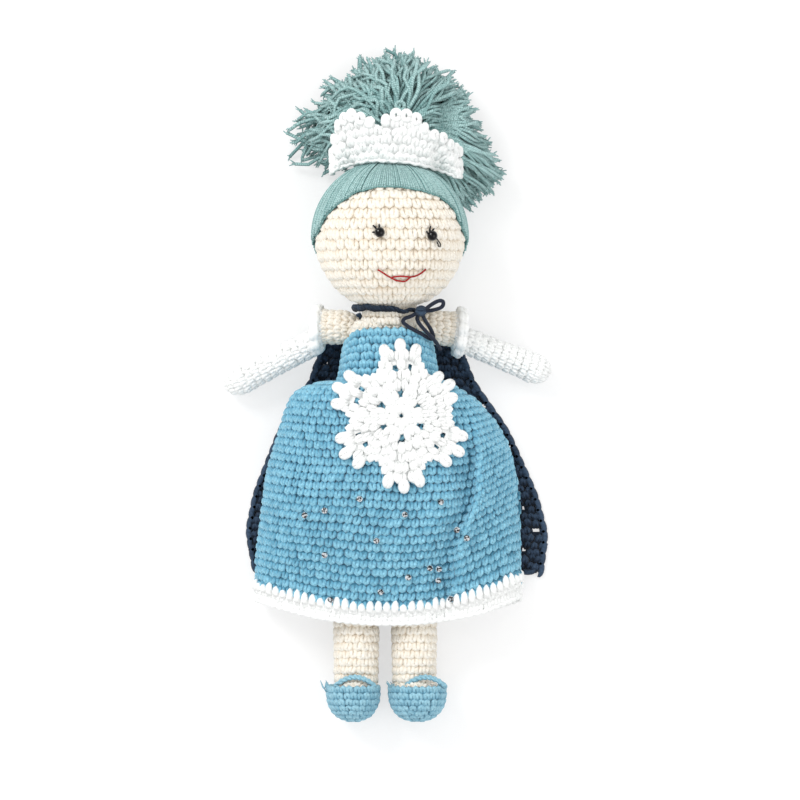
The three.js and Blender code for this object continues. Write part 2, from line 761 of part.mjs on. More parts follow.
// The inner face lies one wall inside the outer one, square to it.
function insideRing(ring, wall) {
  return ring.map((point, i) => {
    const before = ring[(i + ring.length - 1) % ring.length];
    const after = ring[(i + 1) % ring.length];
    const run = v(after.x - before.x, 0, after.z - before.z).normalize();
    return v(point.x - run.z * wall, point.y, point.z + run.x * wall);
  });
}

const skirtRoom = (shares) => loft(shares.map((share) => insideRing(skirtRing(share), -gap)));

function skirtTube(shares) {
  const outer = shares.map(skirtRing);
  const inner = outer.map((ring) => insideRing(ring, skirtWall)).reverse();
  return loft([...outer, ...inner], true);
}

const hemShare = 1 - hemHeight / skirtLength;
const trunkRoom = loft(trunkStations.map((y) => trunkRing(y, gap)));
const skirtStations = [0, 0.025, 0.06, 0.12, 0.22, 0.34, 0.46, 0.58, 0.7, 0.82, hemShare];
add('dress_skirt', cut(skirtTube(skirtStations), trunkRoom, hipBall(gap)), blueYarn);
add('skirt_hem', skirtTube([hemShare + (2 * gap) / skirtLength, (1 + hemShare) / 2, 1]), whiteYarn);

// The front of the dress, over bodice and skirt, which carries the sewn-on trims.
function dressFront(x, y) {
  if (y <= waistY) return skirtFront(x, y);
  const ring = trunkRing(y, gap + dressWall);
  const halfWidth = ring[0].x - trunkX;
  const centre = ring[0].z;
  const halfDepth = ring[aroundSides / 4].z - centre;
  const across = Math.min(1, Math.abs(x - trunkX) / halfWidth);
  return centre + halfDepth * Math.sqrt(1 - across * across);
}
const dressTop = (x, y) => Math.max(
  dressFront(x, y),
  dressFront(x, y + foldWidth / 2),
  dressFront(x, y - foldWidth / 2),
  skirtTopHeight * 0.9,
);

// Snowflake: six arms with three loops each, around a ring of six small holes.
const flakeReachShares = [
  [0, 0.93], [0.17, 0.8], [0.3, 0.92], [0.44, 0.9], [0.58, 0.66], [0.72, 0.58], [0.86, 0.66], [1, 0.93],
];
const flakeArms = 6;
const flakeSteps = 42;
function flakeReach(turn) {
  const place = ((turn * flakeArms) / (2 * Math.PI)) % 1;
  return snowflakeRadius * along(flakeReachShares, place < 0 ? place + 1 : place);
}
const flakeTilt = radians(86);
function flakePoint(turn, share, lift) {
  const reach = share * flakeReach(turn - flakeTilt);
  const x = snowflakeX + reach * Math.cos(turn);
  const y = snowflakeY + reach * Math.sin(turn);
  return v(x, y, dressTop(x, y) + snowflakeLift + lift);
}
const flakeShares = [0.08, 0.5, 1];
const flakeRings = (lift) => flakeShares.map((share) =>
  range(flakeSteps).map((i) => flakePoint((2 * Math.PI * i) / flakeSteps, share, lift)));
const flakeForm = loft([...flakeRings(0), ...flakeRings(snowflakeThickness).reverse()]);
const flakeHoles = range(flakeArms).map((i) => {
  const turn = flakeTilt + ((i + 0.5) * 2 * Math.PI) / flakeArms;
  const x = snowflakeX + snowflakeHoleReach * Math.cos(turn);
  const y = snowflakeY + snowflakeHoleReach * Math.sin(turn);
  return cylinderAlong(v(x, y, 0), v(x, y, 2 * skirtTopHeight), snowflakeHoleRadius, threadSides);
});
const skirtSolidRoom = skirtRoom(skirtStations);
add('snowflake', cut(flakeForm, ...flakeHoles, skirtSolidRoom), whiteYarn);

// Small stones sewn over the skirt, at shares of its half-width and its length.
const stonePlaceShares = [
  [-0.636, 0.557], [-0.489, 0.537], [-0.232, 0.489], [-0.489, 0.719], [-0.109, 0.66], [-0.079, 0.871],
  [-0.447, 0.903], [0.362, 0.502], [0.099, 0.553], [0.479, 0.616], [0.553, 0.65], [0.283, 0.773],
  [0.349, 0.776], [0.344, 0.824], [0.124, 0.81], [0.435, 0.899],
];
stonePlaceShares.forEach(([acrossShare, downShare], i) => {
  const x = acrossShare * skirtHalfWidth;
  const y = waistY - downShare * skirtLength;
  const profile = [[-0.8, 1], [0, 1], [1, 0.5]].map(([share, widthShare]) =>
    [share * stoneHeight, widthShare * stoneRadius]);
  const stone = turned(profile, threadSides)
    .rotateY(-Math.PI / 2)
    .translate(x, y, skirtFront(x, y) + gap);
  add(`rhinestone_${String(i + 1).padStart(2, '0')}`, cut(stone, skirtSolidRoom), crystal);
});

// Cape: a cloth behind the doll, gathered at the neck and flat on the table below it.
const capeWidthShares = [
  [0, 0.2], [0.04, 0.3], [0.13, 0.46], [0.27, 0.55], [0.45, 0.76], [0.7, 0.94], [0.85, 1], [1, 0.96],
];
const capeLiftShares = [[0, 1], [0.03, 0.6], [0.065, 0.27], [0.12, 0.1], [0.2, 0], [1, 0]];
function capePoint(across, down, up) {
  const c = lerp(-1, 1, across);
  const length = capeLength * (1 - 0.04 * c * c);
  const x = capeX * down + neckX * (1 - down) + c * capeHalfWidth * along(capeWidthShares, down);
  const lift = capeNeckLift * along(capeLiftShares, down) * (1 - 0.5 * c ** 4);
  return v(x, capeTopY - down * length, lift + up * capeThickness);
}
const capeRoom = joined(neckBall(gap), loft(trunkStations.map((y) => trunkRing(y, gap))));
const capeForm = slab(12, 14, (a, d) => capePoint(a, d ** 1.4, 0), (a, d) => capePoint(a, d ** 1.4, 1));
add('cape', cut(capeForm, capeRoom), navyYarn);

// Collar: the cape's drawn top edge round the neck, with the knot and loops of its cord.
const collarReach = neckRadius + runningGap + collarRadius;
const collarRings = range(aroundSides).map((i) => {
  const turn = (2 * Math.PI * i) / aroundSides;
  return range(cordSides).map((j) => {
    const angle = (2 * Math.PI * j) / cordSides;
    const radius = collarReach + collarRadius * Math.cos(angle);
    const y = collarY + collarRadius * Math.sin(angle);
    return v(neckX + radius * Math.cos(turn), y, neckHeight + radius * Math.sin(turn));
  });
});
add('cape_collar', loft(collarRings, true), navyYarn);
const knotTurn = radians(knotAngleDegrees);
const knotReach = collarReach + collarRadius + gap + knotRadius;
const knot = v(neckX + knotReach * Math.cos(knotTurn), collarY, neckHeight + knotReach * Math.sin(knotTurn));
add('tie_knot', ball(knot, knotRadius, 0.8 * knotRadius, knotRadius, 12, 8), navyYarn);

// The cord's route beyond the knot, chosen by hand.
const shortLoop = [
  [17.6, 38.2, 51.6], [20, 40.2, 54], [24, 42.2, 55.6], [26.2, 41.4, 55.2],
  [25.4, 38.6, 53.4], [21.6, 37.4, 51], [18.5, 36.9, 49.6],
];
const longLoop = [
  [12.2, 35.6, 48.4], [9.4, 34, 47.4], [6.4, 33.2, 46.8], [5.4, 31.4, 46.4], [8.2, 29.2, 46.9],
  [11.4, 27.4, 46], [15, 25.6, 43.4], [18.6, 23.2, 39.2], [20.9, 22.8, 36.8], [21, 25, 37.2],
  [19.4, 28.4, 40.6], [17, 31.8, 44], [15.2, 35.4, 47.4],
];
const tail = [
  [13.6, 35.2, 46.9], [12.6, 33.2, 45.4], [13.8, 30.6, 45.4], [16.2, 27.8, 44.6], [18.8, 25.2, 42.8],
  [21.2, 22.8, 40.6], [23.2, 20.2, 37], [24.4, 17.8, 32.6],
];
const route = (points) => points.map(([x, y, z]) => v(x, y, z));
const knotRoom = ball(knot, knotRadius + gap, 0.8 * knotRadius + gap, knotRadius + gap, 12, 8);
add('tie_loop_short', cut(cord(route(shortLoop), cordRadius, loopSteps), knotRoom), navyYarn);
add('tie_loop_long', cut(cord(route(longLoop), cordRadius, loopSteps), knotRoom), navyYarn);
add('tie_tail', cut(cord(route(tail), cordRadius, tailSteps), knotRoom), navyYarn);

// The origin is under the middle of the whole doll.
doll.updateMatrixWorld(true);
const bounds = new THREE.Box3().setFromObject(doll, true);
const middle = bounds.getCenter(v(0, 0, 0));
doll.position.set(-middle.x, -middle.y, -bounds.min.z);
console.log('moved by', doll.position.toArray().map((n) => n.toFixed(4)).join(' '));
console.log('size', bounds.getSize(v(0, 0, 0)).toArray().map((n) => n.toFixed(2)).join(' '));

export default doll;
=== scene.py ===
# %% [markdown]
# A crocheted doll lies on its back on a white table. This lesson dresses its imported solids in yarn.
# The solids give the true sizes and the joints. Everything that shows is yarn, thread, beads and
# small stones, so nearly every solid is replaced by a piece worked in stitches.

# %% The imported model
import json
import math

import bpy
import numpy as np
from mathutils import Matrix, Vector
from mathutils.bvhtree import BVHTree


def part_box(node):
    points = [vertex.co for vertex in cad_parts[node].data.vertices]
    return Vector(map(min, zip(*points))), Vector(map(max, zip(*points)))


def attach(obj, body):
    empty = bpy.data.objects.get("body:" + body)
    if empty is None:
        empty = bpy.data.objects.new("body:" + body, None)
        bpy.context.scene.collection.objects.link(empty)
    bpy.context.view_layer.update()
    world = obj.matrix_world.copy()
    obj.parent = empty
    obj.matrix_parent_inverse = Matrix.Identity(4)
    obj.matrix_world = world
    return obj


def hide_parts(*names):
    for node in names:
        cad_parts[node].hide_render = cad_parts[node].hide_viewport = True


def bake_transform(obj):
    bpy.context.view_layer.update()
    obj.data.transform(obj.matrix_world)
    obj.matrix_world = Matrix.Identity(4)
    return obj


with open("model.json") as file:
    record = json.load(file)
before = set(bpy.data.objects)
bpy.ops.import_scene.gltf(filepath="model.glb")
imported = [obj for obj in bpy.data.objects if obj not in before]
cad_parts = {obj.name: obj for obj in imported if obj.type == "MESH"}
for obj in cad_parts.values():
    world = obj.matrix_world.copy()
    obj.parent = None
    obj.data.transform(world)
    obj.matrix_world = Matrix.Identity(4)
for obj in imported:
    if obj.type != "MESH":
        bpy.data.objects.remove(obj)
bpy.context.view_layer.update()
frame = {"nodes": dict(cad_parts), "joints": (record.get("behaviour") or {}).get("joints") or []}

# %% [markdown]
# The doll's pattern is written in millimetres, with its own zero near the left edge of the neck.
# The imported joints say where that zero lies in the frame, so nothing has to be fitted by eye.

# %% Pattern millimetres and the frame
MM = 0.001
JOINTS = {joint["name"]: joint for joint in frame["joints"]}
NECK_PIVOT = np.array([-1.0, 38.0, 33.0])
SHIFT = np.array(JOINTS["head_nod"]["pos_m"]) - NECK_PIVOT * MM
DRAWS = np.random.default_rng(7)


def in_frame(points):
    """Pattern millimetres as metres in the frame."""
    return np.asarray(points, float) * MM + SHIFT


def in_pattern(metres):
    """Metres in the frame as pattern millimetres."""
    return (np.asarray(metres, float) - SHIFT) / MM


print("pattern zero in the frame:", np.round(SHIFT / MM, 3), "mm")

# %% [markdown]
# The camera looks straight down on the doll from far away, so the head is not drawn too large.

# %% Camera
PICTURE_WIDTH = 0.400
CAMERA_HEIGHT = 5.0
CAMERA_CENTRE = (0.0048, -0.0073)
FOCUS_HEIGHT = 0.028
camera_data = bpy.data.cameras.new("camera")
camera = bpy.data.objects.new("camera", camera_data)
bpy.context.scene.collection.objects.link(camera)
bpy.context.scene.camera = camera
camera.location = (*CAMERA_CENTRE, CAMERA_HEIGHT)
camera_data.sensor_width = 36
camera_data.lens = camera_data.sensor_width * (CAMERA_HEIGHT - FOCUS_HEIGHT) / PICTURE_WIDTH
camera_data.clip_end = 20
print("lens:", round(camera_data.lens), "mm")

# %% [markdown]
# Shader maths reads better as an expression than as a chain of boxes. The small class below wraps
# a socket, so that adding or multiplying two values adds the Math node for it.


# %% Shader values and finishes
class Value:
    """What a node gives out, as a term of an expression."""

    def __init__(self, nodes, socket):
        self.nodes = nodes
        self.socket = socket

    def _maths(self, operation, *terms):
        return self.nodes.node("ShaderNodeMath", {"operation": operation}, dict(enumerate(terms)))

    def __add__(self, other):
        return self._maths("ADD", self, other)

    def __sub__(self, other):
        return self._maths("SUBTRACT", self, other)

    def __rsub__(self, other):
        return self._maths("SUBTRACT", other, self)

    def __mul__(self, other):
        return self._maths("MULTIPLY", self, other)

    __radd__ = __add__
    __rmul__ = __mul__

    def sine(self):
        return self._maths("SINE", self)


class Nodes:
    """A node tree, and a plain way to add nodes to it."""

    def __init__(self, tree):
        self.tree = tree

    def fill(self, socket, term):
        """Links a value to a socket, or sets a plain number or colour in it."""
        if isinstance(term, Value):
            self.tree.links.new(term.socket, socket)
        else:
            socket.default_value = term

    def node(self, kind, settings=None, sockets=None, output=0):
        made = self.tree.nodes.new(kind)
        for name, setting in (settings or {}).items():
            if name == "stops":
                set_stops(made.color_ramp, setting)
            else:
                setattr(made, name, setting)
        for key, term in (sockets or {}).items():
            self.fill(made.inputs[key], term)
        return Value(self, made.outputs[output])


def set_stops(ramp, stops):
    """The colours of a ramp, in order of their places."""
    for _ in stops[2:]:
        ramp.elements.new(0.5)
    for element, (place, colour) in zip(ramp.elements, stops):
        element.position = place
        element.color = colour


class Finish(Nodes):
    """A material with one Principled shader."""

    def __init__(self, name, **fixed):
        self.material = bpy.data.materials.new(name)
        self.material.use_nodes = True
        super().__init__(self.material.node_tree)
        self.shader = self.tree.nodes["Principled BSDF"]
        for socket, number in fixed.items():
            self.feed(socket.replace("_", " "), number)

    def feed(self, socket, term):
        self.fill(self.shader.inputs[socket], term)

    def noise(self, scale, detail=2.0):
        place = self.node("ShaderNodeTexCoord", output="Object")
        sockets = {"Vector": place, "Scale": scale, "Detail": detail}
        return self.node("ShaderNodeTexNoise", {}, sockets)

    def attribute(self, name):
        return self.node("ShaderNodeAttribute", {"attribute_name": name}, {}, "Fac")

    def mix(self, factor, first, second):
        settings = {"data_type": "RGBA"}
        return self.node("ShaderNodeMix", settings, {0: factor, 6: first, 7: second}, 2)

    def bump(self, height, strength, distance):
        sockets = {"Strength": strength, "Distance": distance, "Height": height}
        self.feed("Normal", self.node("ShaderNodeBump", {}, sockets))


def dye(red, green, blue):
    """A colour as it is read off a screen, from 0 to 255, in the shader's own linear light."""
    def linear(part):
        share = part / 255
        return share / 12.92 if share <= 0.04045 else ((share + 0.055) / 1.055) ** 2.4
    return (linear(red), linear(green), linear(blue), 1)


# %% [markdown]
# Yarn is several plies twisted together, with fuzz. Light and shade are painted into its colour:
# a painted highlight where a strand stands up to the light, and painted shade down in the holes
# between stitches, under each strand and between its plies. Each strand carries two numbers for
# this: depth, the painted shade from 0 down in the holes to 1 on its crown, and tone, which is its
# own small difference. The twist is drawn along the strand's own UV map, and the fuzz is a fine
# noise on the object.


# %% Yarn finishes
NOISE_MIDDLE = 0.42
TONE_SWING = 0.34
HOLE_SHADE_PLACE, CLOTH_PLACE, CROWN_HIGHLIGHT_PLACE = 0.12, 0.5, 0.95
FUZZ_SCALE = 1000
WEAR_SCALE = 45
WEAR_SHARE = 0.25


def yarn(name, hole_shade, cloth, crown, plies=3.0, twist=0.5, sheen=0.15, ply_shade=0.16, speck=0.9):
    """Yarn in three colours: painted shade in its holes, its own colour, and a painted highlight.

    plies and twist lay its stripes, ply_shade paints shade between the plies, and speck is the
    strength of its fuzz.
    """
    finish = Finish(
        name, Roughness=0.85, Specular_IOR_Level=0.25, Sheen_Weight=sheen, Sheen_Roughness=0.5)
    depth = finish.attribute("depth")
    tone = finish.attribute("tone")
    uv = finish.node("ShaderNodeUVMap", {"uv_map": "strand"})
    along = finish.node("ShaderNodeSeparateXYZ", {}, {0: uv}, 0)
    around = finish.node("ShaderNodeSeparateXYZ", {}, {0: uv}, 1)
    stripes = ((along * twist + around * plies) * math.tau).sine() * 0.5 + 0.5
    fuzz = finish.noise(FUZZ_SCALE, 4)
    # The ramp runs from the painted shade of the holes to the painted highlight of the crowns.
    stops = [(HOLE_SHADE_PLACE, hole_shade), (CLOTH_PLACE, cloth), (CROWN_HIGHLIGHT_PLACE, crown)]
    painted_shading = finish.node(
        "ShaderNodeValToRGB", {"stops": stops}, {0: depth + (tone - 0.5) * TONE_SWING})
    # The ply stripes are painted shade between the plies, and the fuzz speckles the colour.
    shaded = finish.mix(stripes * ply_shade + (fuzz - NOISE_MIDDLE) * speck, painted_shading, hole_shade)
    finish.feed("Base Color", finish.mix(finish.noise(WEAR_SCALE) * WEAR_SHARE, shaded, cloth))
    finish.bump(stripes * 0.5 + fuzz * 0.8, 0.6, 0.0004)
    return finish.material


# Each yarn: painted shade for its holes, its own colour, painted highlight for its crowns.
CREAM = yarn("cream_cotton", dye(218, 202, 180), dye(241, 234, 221), dye(248, 244, 235))
WHITE = yarn("white_cotton", dye(222, 224, 223), dye(243, 244, 243), dye(248, 249, 248), speck=0.7)
BLUE = yarn(
    "blue_cotton", dye(50, 108, 134), dye(106, 170, 197), dye(152, 212, 234), sheen=0.25, speck=1.2)
SHOE_BLUE = yarn("shoe_cotton", dye(58, 110, 132), dye(118, 170, 192), dye(160, 206, 222))
NAVY = yarn("navy_cotton", dye(10, 17, 27), dye(30, 44, 62), dye(66, 86, 110), sheen=0.1)
TEAL = yarn(
    "teal_cotton", dye(46, 88, 88), dye(124, 168, 167), dye(190, 224, 222), 2.0, 0.9, ply_shade=0.4,
    speck=1.5)
RED = yarn("red_thread", dye(80, 4, 6), dye(140, 14, 16), dye(180, 36, 34), 2.0)
BLACK = yarn("black_thread", dye(2, 2, 3), dye(10, 10, 12), dye(30, 30, 34), 2.0)
print("yarn finishes:", len((CREAM, WHITE, BLUE, SHOE_BLUE, NAVY, TEAL, RED, BLACK)))

# %% [markdown]
# The eye beads are polished black plastic with faint scratches. The stones are cut crystal, here
# a clear, hard, slightly grey surface that takes sharp reflections on its facets. A fine noise also
# paints near black and near white patches into the stones' colour, as painted reflections.

# %% Beads and stones
bead = Finish("black_bead", Specular_IOR_Level=0.1, Coat_Weight=1.0, Coat_Roughness=0.02)
bead.feed("Roughness", bead.noise(900) * 0.08 + 0.04)
bead.feed("Base Color", bead.mix(bead.noise(300), dye(4, 4, 5), dye(12, 12, 14)))
BEAD = bead.material
crystal = Finish("cut_crystal", Metallic=0.5, IOR=1.6, Coat_Weight=1.0, Coat_Roughness=0.02)
crystal.feed("Roughness", crystal.noise(700) * 0.12 + 0.03)
# Painted reflections: the noise paints near black and near white patches on the facets.
painted_sparkle = (crystal.noise(1100, 0) - NOISE_MIDDLE) * 5
crystal.feed("Base Color", crystal.mix(painted_sparkle, dye(34, 38, 42), dye(244, 248, 252)))
STONE = crystal.material

# %% [markdown]
# Almost everything here is a strand: a round tube along a short path. Operators in edit mode would
# take hours for the thousands of strands in a doll, so the tubes are worked out together as
# arrays and written into one mesh. A strand of a batch has the same number of points as the
# others, and a reference direction that says which way is up for its rings.


# %% Strands as tubes
GROOVE_SHADE_MIDDLE = 0.35
GROUND_SHADE = 0.35


def unit(vectors):
    lengths = np.linalg.norm(vectors, axis=-1, keepdims=True)
    return vectors / np.maximum(lengths, 1e-9)


def full_turn(count):
    """Angles spread evenly over one full turn."""
    return np.arange(count) * math.tau / count


def strands(paths, radii, up, sides=6, closed=False, depth=None, groove_shade=0.4):
    """A batch of tubes. paths is strands x points x 3, and radii fits strands x points.

    groove is painted shade: how much darker a tube is painted below than on top. depth is the
    painted shade along each tube, from 0, darkest, to 1.
    """
    paths = np.asarray(paths, float)
    count, steps, _ = paths.shape
    radii = np.broadcast_to(radii, (count, steps))
    if closed:
        ahead = np.roll(paths, -1, 1) - np.roll(paths, 1, 1)
    else:
        ahead = np.gradient(paths, axis=1)
    ahead = unit(ahead)
    side = unit(np.cross(np.broadcast_to(np.asarray(up, float), paths.shape), ahead))
    lift = np.cross(ahead, side)
    turn = full_turn(sides)
    ring = np.cos(turn)[:, None] * side[:, :, None, :] + np.sin(turn)[:, None] * lift[:, :, None, :]
    corners = paths[:, :, None, :] + radii[:, :, None, None] * ring
    index = np.arange(count * steps * sides).reshape(count, steps, sides)
    low = index if closed else index[:, :-1]
    high = np.roll(index, -1, 1) if closed else index[:, 1:]
    walls = np.stack([low, np.roll(low, -1, 2), np.roll(high, -1, 2), high], -1).reshape(-1, 4)
    step_lengths = np.linalg.norm(np.diff(paths, axis=1), axis=2)
    run = np.concatenate([np.zeros((count, 1)), np.cumsum(step_lengths, 1)], 1)
    spans = steps if closed else steps - 1
    start = run[:, :spans]
    finish = np.roll(run, -1, 1)[:, :spans] if closed else run[:, 1:]
    around = np.arange(sides) / sides
    u = np.stack([start, start, finish, finish], -1)[:, :, None, :].repeat(sides, 2)
    v = np.stack([around, around + 1 / sides, around + 1 / sides, around], -1)
    v = np.broadcast_to(v, u.shape)
    faces = [walls]
    maps = [np.stack([u, v], -1).reshape(-1, 4, 2)]
    if not closed:
        for ends, order in ((index[:, 0], -1), (index[:, -1], 1)):
            faces.append(ends[:, ::order])
            maps.append(np.broadcast_to(np.stack([around * 0, around], -1), (count, sides, 2)))
    tone = DRAWS.random(count)
    shade = np.ones((count, steps)) if depth is None else np.broadcast_to(depth, (count, steps))
    # Painted shade: each tube is painted lighter on top and darker below, by groove.
    shade = shade[:, :, None] + groove_shade * (np.sin(turn) - GROOVE_SHADE_MIDDLE)
    return {
        "corners": corners.reshape(-1, 3),
        "faces": faces,
        "maps": maps,
        "tone": tone[:, None, None].repeat(steps, 1).repeat(sides, 2).reshape(-1),
        "depth": np.clip(shade, 0, 1).reshape(-1),
    }


def lining(grid, wall=None, shade=None):
    """The cloth behind the stitches: a closed skin over rings of points, or a shell with a wall.

    shade is each ring's painted shade, as a depth from 0, darkest, to 1; without it all is darkest.
    """
    rings, around, _ = grid.shape
    if wall is not None:
        grid = np.concatenate([grid, wall[::-1]])
        rings = len(grid)
    index = np.arange(rings * around).reshape(rings, around)
    low = index if wall is not None else index[:-1]
    high = np.roll(index, -1, 0) if wall is not None else index[1:]
    walls = np.stack([low, np.roll(low, -1, 1), np.roll(high, -1, 1), high], -1).reshape(-1, 4)
    faces = [walls]
    if wall is None:
        faces += [index[:1, ::-1], index[-1:]]
    corners = grid.reshape(-1, 3)
    a, b, c = (corners[walls[:, i]] for i in (0, 1, 2))
    volume = np.einsum("ij,ij->i", a, np.cross(b, c)).sum()
    if volume < 0:
        faces = [face[:, ::-1] for face in faces]
    maps = [np.zeros((*face.shape, 2)) for face in faces]
    flat = np.zeros(len(corners))
    depth = flat if shade is None else np.repeat(shade, around)
    return {"corners": corners, "faces": faces, "maps": maps, "tone": flat + 0.5, "depth": depth}


def plate(grid, keep, drop, wrap=False):
    """Flat cloth over a grid of points, open where keep is false, as thick as drop."""
    index = np.arange(grid.shape[0] * grid.shape[1]).reshape(grid.shape[:2])
    below = len(index.reshape(-1))
    if wrap:
        index = np.vstack([index, index[:1]])
    a, b, c, d = index[:-1, :-1], index[1:, :-1], index[1:, 1:], index[:-1, 1:]
    near = np.pad(keep, ((1, 1), (0, 0)), mode="wrap" if wrap else "constant")
    near = np.pad(near, ((0, 0), (1, 1)))
    faces = [np.stack([a, b, c, d], -1)[keep], np.stack([d, c, b, a], -1)[keep] + below]
    sides = (
        (a, b, near[1:-1, :-2]), (b, c, near[2:, 1:-1]),
        (c, d, near[1:-1, 2:]), (d, a, near[:-2, 1:-1]),
    )
    for first, second, beyond in sides:
        rim = keep & ~beyond
        wall = np.stack([second, first, first + below, second + below], -1)
        faces.append(wall[rim])
    faces = np.concatenate(faces)
    corners = np.concatenate([grid.reshape(-1, 3), (grid + drop).reshape(-1, 3)])
    used, faces = np.unique(faces, return_inverse=True)
    faces = faces.reshape(-1, 4)
    corners = corners[used]
    a, b, c = (corners[faces[:, i]] for i in (0, 1, 2))
    if np.einsum("ij,ij->i", a, np.cross(b, c)).sum() < 0:
        faces = faces[:, ::-1]
    flat = np.zeros(len(corners))
    maps = [np.zeros((len(faces), 4, 2))]
    # The ground is painted in shade, darker than the stitches over it.
    depth = flat + GROUND_SHADE
    return {"corners": corners, "faces": [faces], "maps": maps, "tone": flat + 0.5, "depth": depth}


# %% [markdown]
# A batch list becomes one mesh object. Its place is in its corners, so the object itself stays at
# the origin, and the UV map and the two numbers go with it.


# %% Batches to a piece
def piece(name, batches, material):
    corners, tone, depth, sizes, loops, maps = [], [], [], [], [], []
    start = 0
    for batch in batches:
        corners.append(batch["corners"])
        tone.append(batch["tone"])
        depth.append(batch["depth"])
        for face, face_map in zip(batch["faces"], batch["maps"]):
            sizes.append(np.full(len(face), face.shape[1]))
            loops.append((face + start).reshape(-1))
            maps.append(np.asarray(face_map, float).reshape(-1, 2))
        start += len(batch["corners"])
    sizes = np.concatenate(sizes).astype(np.int32)
    loops = np.concatenate(loops).astype(np.int32)
    mesh = bpy.data.meshes.new(name)
    mesh.vertices.add(start)
    mesh.vertices.foreach_set("co", in_frame(np.concatenate(corners)).astype(np.float32).reshape(-1))
    mesh.loops.add(len(loops))
    mesh.loops.foreach_set("vertex_index", loops)
    mesh.polygons.add(len(sizes))
    starts = np.concatenate([[0], np.cumsum(sizes)[:-1]]).astype(np.int32)
    mesh.polygons.foreach_set("loop_start", starts)
    mesh.polygons.foreach_set("loop_total", sizes)
    mesh.polygons.foreach_set("use_smooth", np.ones(len(sizes), bool))
    mesh.update(calc_edges=True)
    layer = mesh.uv_layers.new(name="strand")
    layer.data.foreach_set("uv", np.concatenate(maps).astype(np.float32).reshape(-1))
    # depth is the painted shade the yarn finishes read; tone is each strand's own difference.
    for label, values in (("tone", tone), ("depth", depth)):
        numbers = mesh.attributes.new(label, "FLOAT", "POINT")
        numbers.data.foreach_set("value", np.concatenate(values).astype(np.float32))
    mesh.materials.append(material)
    made = bpy.data.objects.new(name, mesh)
    bpy.context.scene.collection.objects.link(made)
    triangles = int((sizes - 2).sum())
    print(f"{name}: {triangles} triangles")
    return made


def stand_for(made, slot, *nodes):
    """Hides the solids that the piece replaces; made and slot are not used."""
    if nodes:
        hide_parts(*nodes)


def dress(made, body, slot, *nodes):
    """The same for a piece that moves with one body."""
    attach(made, body)
    stand_for(made, slot, *nodes)


# %% [markdown]
# Single crochet is worked in rounds. From outside each stitch is a small plump arch that stands on
# the gap between two stitches of the round below, with a dark hole under it. So each stitch is
# one short strand bent into an arch, and every second row is moved by half a stitch. A hand is
# never quite even, so each arch is also moved and thickened a little at random.

# %% Rounds of stitches
ARCH_LEAN = 0.1
ARCH_UP_SHARES = np.array([-0.12, 0.38, 0.74, 0.93, 0.74, 0.38, -0.12])
ARCH_SPREAD = np.array([-0.1, -0.28, -0.225, 0.0, 0.225, 0.28, 0.1])
ARCH_ACROSS_SHARES = ARCH_SPREAD + ARCH_LEAN * (ARCH_UP_SHARES - 0.4)
ARCH_OUT_SHARES = np.array([-1.9, -0.9, -0.75, -0.9, -0.75, -0.9, -1.9])
ARCH_RADIUS_SHARES = np.array([0.85, 1.0, 1.05, 1.0, 1.05, 1.0, 0.85])
# Painted shade along each arch: darkest at its feet, down in the holes, lightest at its top.
ARCH_SHADE_SHARES = np.array([0.0, 0.55, 0.85, 0.9, 0.85, 0.55, 0.0])
FIRST_PHASE = 0.25
ROW_DRIFT = 0.03
HAND_SHIFT = 0.05
HAND_LEAN = 0.07
HAND_THICKNESS = 0.06
BACK_NEAR = 0.95
BACK_DEEP = 1.5
# The cloth behind is painted as shade: BACK_SHADE in each row, darkest where two rows meet.
BACK_SHADE = 0.65
INSIDE_SHADE = 0.3


def even_points(ring, count, phase=0.0, closed=True):
    """Points spaced evenly along a ring, or along an open row."""
    loop = np.vstack([ring, ring[:1]]) if closed else ring
    run = np.r_[0, np.cumsum(np.linalg.norm(np.diff(loop, axis=0), axis=1))]
    places = (np.arange(count) + phase) / count
    wanted = (places % 1 if closed else np.clip(places, 0, 1)) * run[-1]
    return np.stack([np.interp(wanted, run, loop[:, i]) for i in range(3)], 1)


def path_length(ring, closed=True):
    ahead = np.roll(ring, -1, 0) if closed else ring[1:]
    return np.linalg.norm(ahead - ring[:len(ahead)], axis=1).sum()


def neighbours(points, closed):
    """The step from each point to the next, taken over both of its sides."""
    if closed:
        return (np.roll(points, -1, 0) - np.roll(points, 1, 0)) / 2
    return np.gradient(points, axis=0)


